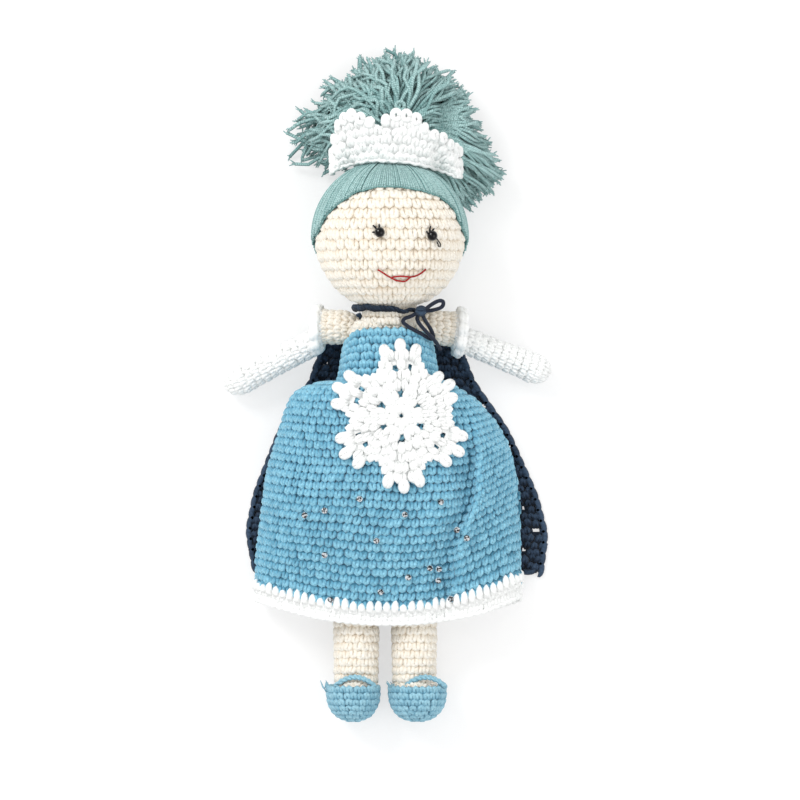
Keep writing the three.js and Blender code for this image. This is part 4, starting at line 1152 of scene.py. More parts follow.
def on_dress(x, y, table=smoothed):
    """Height of the dress under each point, between the sampled places."""
    x, y = np.asarray(x, float), np.asarray(y, float)
    i = np.clip((x - grid_x[0]) / GRID_STEP, 0, len(grid_x) - 1.001)
    j = np.clip((y - grid_y[0]) / GRID_STEP, 0, len(grid_y) - 1.001)
    a, b = i.astype(int), j.astype(int)
    s, t = i - a, j - b
    low = table[a, b] * (1 - t) + table[a, b + 1] * t
    high = table[a + 1, b] * (1 - t) + table[a + 1, b + 1] * t
    return low * (1 - s) + high * s


print("dress top:", round(float(heights.max()), 1), "mm")

# %% [markdown]
# The snowflake is a traditional crochet motif: a small ring, close rounds with six three-cornered
# holes, then six arms, each ending in three loops. It is close work with few openings, so it is a
# thin cloth with holes, under rounds of stitches that follow its outline. It was worked by hand,
# so its arms are not quite alike: their turns and reaches are listed as they lie.

# %% Snowflake
FLAKE_X = 5.0
FLAKE_Y = -15.3
ARM_TURNS = [33, 91, 156, 214, 272, 328]
ARM_REACHES = [31.6, 38.6, 37.6, 37.0, 38.8, 36.8]
VALLEY_REACH = 25.5
LOOP_LENGTH = 7.4
LOOP_SPREAD = 13.5
LOOP_SIDE_SHORTER = 1.9
LOOP_HALF_LENGTH = 2.3
LOOP_HALF_WIDTH = 1.35
ARM_HALF_TURN = 27.0
ARM_RISE = 15.0
FLAKE_STITCH = 3.8
FLAKE_ROWS = 4
CLOTH_LIFT, CLOTH_THICK = 0.7, 0.8
# Each opening: degrees off its arm, its half width in degrees, and its nearest and farthest share.
FLAKE_HOLES = [
    (0, 12, 0.3, 0.395), (0, 6, 0.25, 0.35), (6.5, 3.6, 0.66, 0.76), (-10.5, 2.4, 0.69, 0.78),
]
# Each ring of bars: how many, from which share to which, and its turn in bars.
FLAKE_BARS = [(12, 0.06, 0.23, 0), (12, 0.25, 0.4, 0.5), (6, 0.24, 0.42, 0.5)]
FLAKE_TURN = 32.0
RIM_SHARE = 0.235
BAR_RADII = [1.2, 1.7, 1.9, 1.7, 1.3]
RIM_YARN, LOOP_YARN = 1.15, 1.6


def flake_arm(degrees):
    """For each turn: degrees off the nearest arm, and that arm's reach."""
    off = (np.asarray(degrees)[..., None] - np.array(ARM_TURNS) + 180) % 360 - 180
    nearest = np.abs(off).argmin(-1)
    return np.take_along_axis(off, nearest[..., None], -1)[..., 0], np.array(ARM_REACHES)[nearest]


def flake_edge(degrees):
    off, reach = flake_arm(degrees)
    arm = np.clip((ARM_HALF_TURN - np.abs(off)) / ARM_RISE, 0, 1)
    return VALLEY_REACH + (reach - 0.72 * LOOP_LENGTH - VALLEY_REACH) * arm ** 0.9


def on_flake(degrees, share, lift):
    degrees, share = np.broadcast_arrays(np.asarray(degrees, float), np.asarray(share, float))
    reach = share * flake_edge(degrees)
    x = FLAKE_X + reach * np.cos(np.radians(degrees))
    y = FLAKE_Y + reach * np.sin(np.radians(degrees))
    return np.stack([x, y, on_dress(x, y) + lift], -1)


def flake_open(degrees, share):
    """Where the motif has an opening."""
    off, _ = flake_arm(degrees)
    return np.any([
        (np.abs(off - middle) < half) & (share > near) & (share < far)
        for middle, half, near, far in FLAKE_HOLES
    ], axis=0)


def flake_loops():
    """Three small rings at the end of each arm."""
    swing = full_turn(16)
    loops = []
    for turn, reach in zip(ARM_TURNS, ARM_REACHES):
        for spread in (-1, 0, 1):
            lean = math.radians(turn + spread * LOOP_SPREAD)
            away = np.array([math.cos(lean), math.sin(lean)])
            side = np.array([-away[1], away[0]])
            middle = reach - abs(spread) * LOOP_SIDE_SHORTER - LOOP_LENGTH / 2
            flat = (middle + LOOP_HALF_LENGTH * np.cos(swing))[:, None] * away
            flat = flat + LOOP_HALF_WIDTH * np.sin(swing)[:, None] * side
            x, y = FLAKE_X + flat[:, 0], FLAKE_Y + flat[:, 1]
            loops.append(np.stack([x, y, on_dress(x, y) + 1.5], 1))
    return loops


def flake_batches():
    up = (0, 0, 1)
    turns = np.arange(180) * 2.0
    shares = np.linspace(0.03, 0.97, 41)
    middles = np.meshgrid(turns + 1, (shares[1:] + shares[:-1]) / 2, indexing="ij")
    ground = on_flake(turns[:, None], shares, CLOTH_LIFT)
    batches = [plate(ground, ~flake_open(*middles), (0, 0, -CLOTH_THICK), wrap=True)]

    def covered(points):
        x, y = points[:, 0] - FLAKE_X, points[:, 1] - FLAKE_Y
        degrees = np.degrees(np.arctan2(y, x)) % 360
        share = np.hypot(x, y) / flake_edge(degrees)
        return flake_open(degrees, share - 0.02) | flake_open(degrees, share + 0.035)

    fine = np.arange(240) * 1.5
    rows = [on_flake(fine, share, 1.8) for share in np.linspace(0.4, 1.0, FLAKE_ROWS + 1)]
    batches.append(rounds(
        rows, FLAKE_STITCH, plump=0.34, skip=covered, up=up, sink=0.45, loose=1.8))
    for count, inner, outer, phase in FLAKE_BARS:
        degrees = (np.arange(count) + phase) * 360 / count + FLAKE_TURN
        lift = 1.0 + 0.7 * np.sin(np.linspace(0, math.pi, 5))
        paths = on_flake(degrees[:, None], np.linspace(inner, outer, 5)[None], lift)
        batches.append(strands(paths, BAR_RADII, up, 6, depth=0.95))
    rim = on_flake(fine, RIM_SHARE + 0.012 * np.cos(np.radians(fine * 12)), 1.2)
    batches.append(strands([rim], RIM_YARN, up, 6, True, depth=0.9))
    batches.append(strands(flake_loops(), LOOP_YARN, up, 6, True, depth=0.95))
    return batches


snowflake = piece("snowflake_yarn", flake_batches(), WHITE)
dress(snowflake, "torso", "white_yarn", "snowflake")

# %% [markdown]
# Each stone is a cut crystal with a flat table and a ring of facets. One is modelled in edit mode:
# a low cylinder whose top is raised, drawn in and turned by half a facet. The others are copies
# with meshes of their own, each set on the cloth at its solid's place.

# %% Stones
STONE_RADIUS = 1.6 * MM
STONE_HEIGHT = 1.2 * MM
STONE_FACETS = 8
STONE_TABLE_SHARE = 0.58
STONE_TURN = 37
bpy.ops.object.select_all(action="DESELECT")
bpy.ops.mesh.primitive_cylinder_add(
    vertices=STONE_FACETS, radius=STONE_RADIUS, depth=STONE_HEIGHT / 2)
first_stone = bpy.context.object
bpy.ops.object.mode_set(mode="EDIT")
bpy.ops.mesh.select_mode(type="FACE")
bpy.ops.mesh.select_all(action="DESELECT")
bpy.ops.object.mode_set(mode="OBJECT")
for face in first_stone.data.polygons:
    face.select = face.normal.z > 0.9
bpy.ops.object.mode_set(mode="EDIT")
bpy.ops.mesh.extrude_region_move(TRANSFORM_OT_translate={"value": (0, 0, STONE_HEIGHT / 2)})
bpy.ops.transform.resize(value=(STONE_TABLE_SHARE, STONE_TABLE_SHARE, 1))
bpy.ops.transform.rotate(value=math.pi / STONE_FACETS, orient_axis="Z", center_override=(0, 0, 0))
bpy.ops.object.mode_set(mode="OBJECT")
first_stone.data.materials.append(STONE)
stone_nodes = sorted(node for node in frame["nodes"] if node.startswith("rhinestone"))
for number, node in enumerate(stone_nodes):
    low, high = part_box(node)
    middle = in_pattern((low + high) / 2)
    seat = float(on_dress(middle[0], middle[1], highest))
    stone = first_stone.copy()
    stone.data = first_stone.data.copy()
    stone.name = f"{node}_cut"
    turned = math.radians(STONE_TURN * number)
    corners = np.array([corner.co for corner in stone.data.vertices])
    spun = np.stack([
        corners[:, 0] * math.cos(turned) - corners[:, 1] * math.sin(turned),
        corners[:, 0] * math.sin(turned) + corners[:, 1] * math.cos(turned),
        corners[:, 2] + STONE_HEIGHT / 4,
    ], 1)
    place = in_frame((middle[0], middle[1], seat))
    stone.data.vertices.foreach_set("co", (spun + place).astype(np.float32).reshape(-1))
    bpy.context.scene.collection.objects.link(stone)
    stand_for(stone, "crystal", node)
    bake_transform(stone)
bpy.data.objects.remove(first_stone)
print("stones:", len(stone_nodes))

# %% [markdown]
# The hair cap is yarn laid side by side from the crown to the hairline, all round the head, and
# held at the nape. Each strand is a meridian of the ball, cut where the face begins.

# %% Hair cap
HAIR_RADIUS = HEAD_RADIUS + 0.9
HAIR_COUNT = 152
HAIR_STEPS = 18
HAIRLINE_X = [-38.5, -36.5, -32, -27, -16.5, -6, 4.5, 15, 25.5, 32.5, 37.5, 38.5]
HAIRLINE_Y = [-2, 1.5, 10, 15.5, 22, 24.5, 24.5, 23, 19.5, 13.5, 1.5, -2]
HAIRLINE_BACK = 0.9
NAPE = -27.0
TABLE_CLEARANCE = 0.6


def meridian(turn, levels):
    """A strand from the crown down the ball, as far as the hairline lets it."""
    flat = HAIR_RADIUS * np.stack([
        np.cos(levels) * math.sin(turn), np.sin(levels), np.cos(levels) * math.cos(turn),
    ], 1)
    front = np.interp(flat[:, 0], HAIRLINE_X, HAIRLINE_Y)
    covered = flat[:, 1] > np.where(flat[:, 2] > 0, front, HAIRLINE_BACK * flat[:, 2])
    stop = len(levels) if covered.all() else int(np.argmin(covered))
    return flat[np.linspace(0, stop - 1, HAIR_STEPS).round().astype(int)]


def hair_cap_batches():
    levels = np.linspace(math.pi / 2 - 0.05, math.asin(NAPE / HAIR_RADIUS), 400)
    paths = np.array([meridian(turn, levels) for turn in full_turn(HAIR_COUNT)]) + HEAD_CENTRE
    spread = np.linalg.norm((paths - HEAD_CENTRE)[:, :, [0, 2]], axis=2)
    spacing = math.tau * spread / HAIR_COUNT
    thick = np.maximum(0.57 * spacing, 0.2)
    paths[:, :, 2] = np.maximum(paths[:, :, 2], TABLE_CLEARANCE + thick)
    out = unit(paths - HEAD_CENTRE)
    paths = paths + 0.2 * DRAWS.normal(0, 1, (HAIR_COUNT, 1, 1)) * out
    # Painted shade: each strand is painted darker below, and the layer under them darkest.
    laid = strands(paths, thick, out, 6, depth=0.84, groove_shade=1.5)
    under = strands(paths - 0.9 * out, thick, out, 4, depth=0.2)
    ends = paths[:, -1] - 0.35 * out[:, -1]
    front = ends[ends[:, 2] > HEAD_CENTRE[2]]
    order = np.argsort(np.arctan2(front[:, 0] - HEAD_CENTRE[0], front[:, 1] - HEAD_CENTRE[1] + 60))
    # The seam along the front hairline is painted dark, as the shadow where the strands end.
    seam = strands([front[order]], 0.5, (0.02, 0.03, 1), 5, depth=0.35)
    return [laid, under, seam]


hair_cap = piece("hair_cap_yarn", hair_cap_batches(), TEAL)
dress(hair_cap, "head", "teal_yarn", "hair_cap")

# %% [markdown]
# The topknot is a mop of cut yarn. Its strands leave the crown in a bundle and fall open like a
# fan, longest to the two sides, until they lie on the table. Each end is frayed into its plies.

# %% Hair tuft
TUFT_ROOT = np.array([0.5, 113.5, 37.0])
TUFT_HEART = np.array([4.0, 137.0, 33.0])
TIP_TURNS = np.radians([
    -64, -53, -46, -32, -24, -16, 2, 19, 47, 58, 86, 104, 119, 133, 151, 157, 175, 185, 196, 202,
    210, 220, 236,
])
TIP_REACHES = [
    50, 62, 60, 63, 48, 44, 35, 34, 28, 28, 28, 31, 30, 36, 35, 39, 49, 54, 63, 58,
    54, 50, 40,
]
TUFT_COUNT = 940
TUFT_STEPS = 12
TUFT_YARN = 1.0
TUFT_LOWEST = 2.2
TUFT_HIGHER = 34.0
TUFT_SPAN = 75.0
MOP_FROM, MOP_OVER = 80.0, 60.0
# Each pair: the plain amount, and what is added where a strand is tousled.
SHORTER_BY_LAYER = (0.1, 0.22)
SHORTER_BY_CHANCE = (0.06, 0.14)
TUFT_BEND = (4, 5)
TUFT_SWING = (1, 0.9)
LONGEST_SHARE = 0.96
CROWD_POWER = 1.9
BEND_SHARE = 0.66
ROOT_SPREAD = (3.2, 1.0, 3.2)
HEART_SPREAD = (3.6, 2.0, 1.6)
CURL_SPREAD = (2.8, 2.8, 2.0)
HAIR_CLEARANCE = 2.4
TIARA_MIDDLE, TIARA_SIDE, TIARA_REACH, UNDER_TIARA = 1.6, 20.0, 142.0, 31.0
FRAY_PLIES = 4


def curve(first, second, third, fourth, steps):
    """Points along a smooth curve that leaves its first point towards the second."""
    t = np.linspace(0, 1, steps)[:, None]
    first, second, third, fourth = (p[:, None] for p in (first, second, third, fourth))
    near = (1 - t) ** 3 * first + 3 * t * (1 - t) ** 2 * second
    return near + 3 * t * t * (1 - t) * third + t ** 3 * fourth


def tousled(pair, mop):
    plain, more = pair
    return plain + more * mop


def tuft_strands():
    """The strands' paths, and the layer of each, 0 for the lowest. mop is how tousled one is."""
    layer = DRAWS.random(TUFT_COUNT)
    fine = np.linspace(TIP_TURNS[0], TIP_TURNS[-1], 200)
    crowd = np.cumsum(np.interp(fine, TIP_TURNS, TIP_REACHES) ** CROWD_POWER)
    turn = np.interp(DRAWS.random(TUFT_COUNT), crowd / crowd[-1], fine)
    full = np.interp(turn, TIP_TURNS, TIP_REACHES)
    mop = np.clip((np.degrees(turn) - MOP_FROM) / MOP_OVER, 0, 1)
    shorter = tousled(SHORTER_BY_LAYER, mop) * layer
    shorter = shorter + tousled(SHORTER_BY_CHANCE, mop) * DRAWS.random(TUFT_COUNT)
    reach = LONGEST_SHARE * full * (1.0 - shorter)
    heading = np.stack([np.cos(turn), np.sin(turn), 0 * turn], 1)
    sideways = np.stack([-np.sin(turn), np.cos(turn), 0 * turn], 1)
    scatter = DRAWS.normal(0, 1, (TUFT_COUNT, 3))
    first = TUFT_ROOT + scatter * ROOT_SPREAD
    heart = TUFT_HEART + np.stack([0 * layer, 0 * layer, -16 + 27 * layer], 1)
    second = heart + scatter * HEART_SPREAD + 5 * heading + (0, 2, 5)
    tip = heart + heading * reach[:, None]
    fall = 1 - (reach / TUFT_SPAN) ** 2
    tip[:, 2] = TUFT_LOWEST + TUFT_HIGHER * layer * fall + 5 * DRAWS.random(TUFT_COUNT)
    bend = DRAWS.normal(0, 1, (TUFT_COUNT, 1)) * tousled(TUFT_BEND, mop[:, None])
    third = heart + heading * reach[:, None] * BEND_SHARE + sideways * bend
    third[:, 2] = tip[:, 2] * 0.6 + heart[:, 2] * 0.5 + 6 * layer
    curl = np.clip(DRAWS.normal(0, 1, (TUFT_COUNT, 3)), -1.4, 1.4) * CURL_SPREAD
    paths = curve(first, second, third, tip + curl, TUFT_STEPS)
    waves = np.linspace(0, 1, TUFT_STEPS) * math.tau
    phase = DRAWS.random((TUFT_COUNT, 1)) * math.tau
    size = (0.8 + 1.0 * DRAWS.random((TUFT_COUNT, 1))) * tousled(TUFT_SWING, mop[:, None])
    swing = size * np.sin((1.3 + DRAWS.random((TUFT_COUNT, 1))) * waves + phase)
    swing = swing * np.linspace(0.1, 1, TUFT_STEPS)
    return paths + swing[..., None] * sideways[:, None], layer


def keep_clear(paths, margin):
    """Pushes points out of the head and over the table, and under the tiara's ends."""
    away = paths - HEAD_CENTRE
    distance = np.linalg.norm(away, axis=-1, keepdims=True)
    least = HEAD_RADIUS + HAIR_CLEARANCE + margin
    paths = np.where(distance < least, HEAD_CENTRE + away / distance * least, paths)
    wide = (np.abs(paths[..., 0] - TIARA_MIDDLE) > TIARA_SIDE) & (paths[..., 1] < TIARA_REACH)
    paths[..., 2] = np.where(wide, np.minimum(paths[..., 2], UNDER_TIARA), paths[..., 2])
    paths[..., 2] = np.maximum(paths[..., 2], 0.9 + margin)
    return paths


def frayed(paths, spread=0.8, length=2.1):
    """The loose plies at the end of each strand."""
    ends = paths[:, -1]
    ahead = unit(paths[:, -1] - paths[:, -2])
    plies = []
    for _ in range(FRAY_PLIES):
        lean = ahead * length * (0.6 + 0.6 * DRAWS.random((len(ends), 1)))
        lean = lean + DRAWS.normal(0, spread, ends.shape) * (1, 1, 0.6)
        ply = ends[:, None] - 0.6 * ahead[:, None] + np.array([0, 0.5, 1])[:, None] * lean[:, None]
        ply[:, 1] += DRAWS.normal(0, 0.25, ends.shape)
        plies.append(ply)
    plies = np.concatenate(plies)
    plies[..., 2] = np.maximum(plies[..., 2], 0.6)
    return plies


tuft_paths, tuft_layer = tuft_strands()
tuft_paths = keep_clear(tuft_paths, TUFT_YARN)
tuft_way = np.linspace(0, 1, TUFT_STEPS)
tuft_thick = TUFT_YARN * (1 - 0.1 * tuft_way)
tuft_plies = frayed(tuft_paths)
# Painted shade: the lower layers and the roots are painted darker, the ends lighter.
tuft_shade = 0.12 + 0.4 * tuft_layer[:, None] + 0.4 * tuft_way ** 2
tuft = piece("hair_tuft_yarn", [
    strands(tuft_paths, tuft_thick, (0.1, 0.2, 1), 5, depth=tuft_shade, groove_shade=0.5),
    strands(tuft_plies, [0.45, 0.36, 0.22], (0.1, 0.2, 1), 4, depth=0.75),
], TEAL)
dress(tuft, "head", "teal_yarn", "hair_tuft")

# %% [markdown]
# A strand is wound three times round the root of the topknot, and one loop of it stands up at
# the front, above the tiara.

# %% Hair tie
WINDS = 3
WIND_RADIUS = 9.6
WIND_CLIMB = 2.6
STANDING_LOOP = (4.4, 139.0, 47.5)
STANDING_RADIUS = 2.1
tie_low, tie_high = (in_pattern(corner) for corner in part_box("hair_tie"))
tie_middle = (tie_low + tie_high) / 2
wind = np.linspace(0, WINDS * math.tau, 20 * WINDS)
tie_turns = tie_middle + np.stack([
    WIND_RADIUS * np.cos(wind), WIND_CLIMB * wind / wind[-1] - 1.2, WIND_RADIUS * np.sin(wind),
], 1)
loop_turn = full_turn(16)
loop_path = STANDING_LOOP + np.stack([
    STANDING_RADIUS * np.cos(loop_turn), STANDING_RADIUS * np.sin(loop_turn),
    0.6 * np.cos(loop_turn),
], 1)
hair_tie = piece("hair_tie_yarn", [
    strands([tie_turns], 0.9, (0, 1, 0.01), 6, depth=0.7),
    strands([loop_path], 1.0, (0.02, 0.03, 1), 8, True, depth=0.8),
], TEAL)
dress(hair_tie, "head", "teal_yarn", "hair_tie")

# %% [markdown]
# The tiara is a stiff white band that stands on the crown in front of the topknot. It is close
# work too: rows of stitches from a waved foot up to a peaked outline, which is edged with loops.
# The highest loops stand at its left and over its middle.

# %% Tiara
TIARA_X = 2.4
TIARA_RADIUS = 31.6
TIARA_BACK = 6.0
TIARA_BASE = 33.0
TIARA_TALL = 28.0
TIARA_PLACES = [
    -1, -0.88, -0.69, -0.57, -0.47, -0.37, -0.3, -0.23, -0.15, -0.1, 0.03, 0.1, 0.2, 0.28, 0.31, 0.4, 0.5,
    0.63, 0.92, 1,
]
TIARA_TOPS = [
    0.2, 0.45, 0.85, 0.95, 1.0, 0.95, 0.93, 0.84, 0.79, 0.93, 1.02, 0.99, 0.94, 0.84, 0.72, 0.64, 0.6,
    0.48, 0.34, 0.2,
]
TIARA_FOOT_PLACES = [-1, -0.9, -0.49, -0.26, 0.07, 0.34, 0.73, 1]
TIARA_FEET = [-0.1, -0.07, 0.21, 0.34, 0.29, 0.11, -0.22, -0.22]
HAIR_BALL = 40.2


def tiara_point(share, up, out=0.0):
    """A point of the band: share runs from -1 to 1 along it, up from 0 to 1."""
    share = np.asarray(share, float)
    angle = share * math.pi / 2
    foot = TIARA_BASE + TIARA_TALL * np.interp(share, TIARA_FOOT_PLACES, TIARA_FEET) / 2
    top = TIARA_BASE + TIARA_TALL * np.interp(share, TIARA_PLACES, TIARA_TOPS)
    radius = TIARA_RADIUS + out
    x = TIARA_X + radius * np.sin(angle)
    z = HEAD_CENTRE[2] + radius * np.cos(angle) * 0.85 - TIARA_BACK
    over = np.sqrt(np.maximum(0, HAIR_BALL ** 2 - (x - HEAD_CENTRE[0]) ** 2 - foot ** 2))
    seat = np.minimum(z, HEAD_CENTRE[2] + over + 0.6 * out)
    lean = np.clip(np.asarray(up, float), 0, 1) ** 0.7
    return np.stack(np.broadcast_arrays(
        x, HEAD_CENTRE[1] + foot + (top - foot) * up, seat + (z - seat) * lean,
    ), -1)


# Each lobe of the edge: its share along the band, its height as a share, and its size.
TIARA_LOBES = [
    (-0.93, 0.36, 1.6), (-0.82, 0.6, 1.8), (-0.7, 0.84, 2.0), (-0.59, 0.95, 2.3), (-0.48, 1.01, 2.4),
    (-0.37, 0.95, 2.2), (-0.27, 0.88, 1.8), (-0.1, 0.92, 2.0), (0.0, 1.01, 2.4), (0.1, 1.0, 2.3),
    (0.2, 0.94, 2.2), (0.29, 0.78, 1.8), (0.4, 0.66, 1.7), (0.51, 0.61, 1.8), (0.62, 0.5, 1.7),
    (0.74, 0.44, 1.6), (0.87, 0.38, 1.6),
]
TIARA_STITCH = 4.2
TIARA_RIM_YARN, TIARA_LOOP_YARN = 1.05, 1.45
TIARA_ROWS = 7


def tiara_batches():
    shares = np.linspace(-1, 1, 81)
    heights = np.linspace(0, 0.97, 13)
    grid = tiara_point(shares[:, None], heights, 0.3)
    outward = grid * (1, 0, 1) - (TIARA_X, 0, HEAD_CENTRE[2] - TIARA_BACK - 8)
    whole = np.ones((len(shares) - 1, len(heights) - 1), bool)
    batches = [plate(grid, whole, -unit(outward) * 0.9)]
    top = tiara_point(shares, 1)[:, 1]
    tall = top - tiara_point(shares, 0)[:, 1]
    row_heights = [row * TIARA_STITCH / tall for row in range(TIARA_ROWS + 1)]
    rows = [tiara_point(shares, height, 1.1) for height in row_heights]

    def above(points):
        share = np.arcsin(np.clip((points[:, 0] - TIARA_X) / TIARA_RADIUS, -1, 1)) * 2 / math.pi
        return points[:, 1] > np.interp(share, shares, top) - 1.2

    batches.append(rounds(
        rows, TIARA_STITCH, plump=0.35, skip=above, closed=False, up=(0, 0, 1), sink=0.4,
        loose=1.8))
    rim = tiara_point(shares, 0.01, 0.9)
    rim[:, 1] += 0.35 * np.sin(shares * 60)
    batches.append(strands([rim], TIARA_RIM_YARN, (0.01, 0, 1), 6, depth=0.95))
    swing = full_turn(14)
    loops = []
    for share, up, size in TIARA_LOBES:
        middle = tiara_point(share, 1, 0.9)
        middle[1] = HEAD_CENTRE[1] + TIARA_BASE + TIARA_TALL * up - 1.2
        right = unit(tiara_point(share + 0.02, 1) - tiara_point(share - 0.02, 1)) * (1, 0, 1)
        ring = size * 0.8 * np.cos(swing)[:, None] * right
        loops.append(middle + ring + np.array([0, size * 0.95, 0]) * np.sin(swing)[:, None])
    batches.append(strands(loops, TIARA_LOOP_YARN, (0.01, 0.02, 1), 6, True, depth=0.95))
    return batches


tiara = piece("tiara_yarn", tiara_batches(), WHITE)
dress(tiara, "head", "white_yarn", "tiara")

# %% [markdown]
# The face is three small jobs: two polished beads, a few black lashes of thread round each, and a
# mouth of red thread in backstitch. All of it follows the curve of the face.

# %% Eyes
FACE_LIFT = 0.5


def on_face(x, y, lift=0.0):
    """A point over the face for a place on the head's own x and y."""
    reach = HEAD_RADIUS + lift
    x, y = np.asarray(x, float), np.asarray(y, float)
    z = np.sqrt(np.maximum(reach * reach - x * x - y * y, 0))
    return HEAD_CENTRE + np.stack([x, y, z], -1)


def thread_along(lines, lift, radii, depth):
    """Strands of thread laid on the face along lines on its own x and y."""
    places = np.array(lines, float)
    paths = on_face(places[..., 0], places[..., 1], FACE_LIFT + lift)
    return strands(paths, radii, (0.05, 0.02, 1), 6, depth=depth)


EYES = {"right": (-5.0, 1.6), "left": (21.1, 0.0)}
EYE_RADIUS = 2.6
EYE_FLATNESS = 0.86
EYE_LIFT = 1.0
for side, (x, y) in EYES.items():
    bpy.ops.object.select_all(action="DESELECT")
    bpy.ops.mesh.primitive_uv_sphere_add(segments=32, ring_count=20, radius=EYE_RADIUS * MM)
    eye = bpy.context.object
    eye.name = f"eye_{side}_bead"
    bpy.ops.object.mode_set(mode="EDIT")
    bpy.ops.transform.resize(value=(1, 1, EYE_FLATNESS))
    bpy.ops.object.mode_set(mode="OBJECT")
    bpy.ops.object.shade_smooth()
    corners = np.array([corner.co for corner in eye.data.vertices])
    place = in_frame(on_face(x, y, EYE_LIFT))
    eye.data.vertices.foreach_set("co", (corners + place).astype(np.float32).reshape(-1))
    eye.data.materials.append(BEAD)
    dress(eye, "head", "black_bead", f"eye_{side}")

# %% Lashes
LASH_RADII = [0.55, 0.48, 0.28]
STRAY_RADIUS = 0.3
LASHES = {
    "right": [
        [(-6.5, 3.2), (-7.5, 4.3), (-8.4, 5.1)],
        [(-5.3, 3.7), (-5.2, 4.8), (-5.3, 5.8)],
        [(-7.2, 1.7), (-8.0, 1.6), (-8.8, 1.7)],
    ],
    "left": [
        [(19.8, 1.8), (19.9, 3.3), (20.2, 4.8)],
        [(20.9, 2.1), (21.5, 2.9), (22.1, 3.6)],
        [(19.0, 0.9), (18.5, 1.6), (18.3, 2.5)],
    ],
}
STRAY_THREAD = [
    (23.0, -1.2), (24.2, -2.6), (25.2, -4.2), (25.0, -5.6), (24.3, -5.4), (23.9, -4.2), (23.4, -3.0),
]
for side, lines in LASHES.items():
    batches = [thread_along(lines, 0.2, LASH_RADII, 0.8)]
    if side == "left":
        batches.append(thread_along([STRAY_THREAD], 0.3, STRAY_RADIUS, 0.8))
    lashes = piece(f"eyelashes_{side}_thread", batches, BLACK)
    dress(lashes, "head", "black_thread", f"eyelashes_{side}")

# %% Mouth
LIP_RADIUS = 0.42
LIP_LINES = [
    [(-5.9, -16.9), (-3.6, -18.3), (-1.2, -19.9), (1.0, -21.1)],
    [(1.0, -21.1), (1.9, -20.4), (6.0, -20.1), (10.3, -20.5)],
    [(1.0, -21.1), (3.2, -22.3), (7.6, -22.8), (10.3, -20.5)],
    [(10.3, -20.5), (13.0, -20.0), (15.6, -18.6), (18.0, -16.6)],
]


def softened(line, steps=13):
    """More points along a line, with its corners eased."""
    points = np.array(line, float)
    run = np.linspace(0, 1, len(points))
    fine = np.linspace(0, 1, steps)
    flat = np.stack([np.interp(fine, run, points[:, i]) for i in (0, 1)], 1)
    soft = flat.copy()
    soft[1:-1] = (flat[:-2] + 2 * flat[1:-1] + flat[2:]) / 4
    return soft


lips = thread_along([softened(line) for line in LIP_LINES], 0.1, LIP_RADIUS, 0.7)
mouth = piece("mouth_thread_laid", [lips], RED)
dress(mouth, "head", "red_thread", "mouth_thread")

# %% [markdown]
# The cape is worked in rows of stitches with small openings on a slant, and an edge of little
# shells. It is gathered to the neck, and below the shoulders it lies flat on the table under the
# doll. Its outline is shares of its width at shares of its length.

# %% Cape
CAPE_X = 2.5
CAPE_TOP = 36.5
CAPE_LENGTH = 132.0
CAPE_HALF_WIDTH = 75.0
CAPE_PLACES = [0, 0.04, 0.13, 0.27, 0.45, 0.7, 0.85, 1]
CAPE_WIDTHS = [0.2, 0.3, 0.46, 0.55, 0.76, 0.94, 1.0, 0.96]
CAPE_LIFT_PLACES = [0, 0.03, 0.065, 0.12, 0.2, 1]
CAPE_LIFTS = [1, 0.6, 0.27, 0.1, 0, 0]
CAPE_NECK_LIFT = 11.5
CAPE_RIGHT_SHORTER, CAPE_LEFT_SHORTER = 0.02, 0.005
CAPE_LEFT_WIDER = 1.02
CAPE_EDGING = 1.9
CAPE_SIDE_FALL = 0.5
CAPE_ROWS, CAPE_STITCH = 36, 3.5
CAPE_HOLE = 1.0
CAPE_GAP = 1.5
HOLE_ROW = 10.4
HOLE_COLUMN = 13.2
CAPE_FROM, CAPE_TO = 0.012, 0.985
SIDE_SHELL = 0.041
FOOT_SHELL = 0.075


def cape_point(side_share, down, lift=0.0):
    c = np.asarray(side_share, float)
    down = np.asarray(down, float)
    length = CAPE_LENGTH * (1 - np.where(c < 0, CAPE_RIGHT_SHORTER, CAPE_LEFT_SHORTER) * c * c)
    half = CAPE_HALF_WIDTH * np.interp(down, CAPE_PLACES, CAPE_WIDTHS) * np.where(c > 0, CAPE_LEFT_WIDER, 1)
    x = CAPE_X * down + NECK_PIVOT[0] * (1 - down) + c * (half - CAPE_EDGING)
    rise = CAPE_NECK_LIFT * np.interp(down, CAPE_LIFT_PLACES, CAPE_LIFTS) * (1 - CAPE_SIDE_FALL * c ** 4)
    return np.stack(np.broadcast_arrays(x, CAPE_TOP - down * length, rise + lift), -1)


def cape_open(points, reach):
    """Small openings on a slanted lattice."""
    row = np.round(points[..., 1] / HOLE_ROW)
    column = (points[..., 0] + HOLE_COLUMN / 2 * (row % 2)) / HOLE_COLUMN
    off_x = (column - np.round(column)) * HOLE_COLUMN
    off_y = points[..., 1] - row * HOLE_ROW
    return np.hypot(off_x, off_y) < reach


def in_gap(points):
    return cape_open(points, CAPE_GAP)


def cape_shell(start, stop, out):
    """A small arch of the edge, between two places of the cape that are (share, down)."""
    swing = np.linspace(-0.35, math.pi + 0.35, 9)[:, None]
    start, stop = (cape_point(*place, 1.5) for place in (start, stop))
    along = (stop - start) * 0.52
    return (start + stop) / 2 + np.sin(swing) * np.array(out) - np.cos(swing) * along


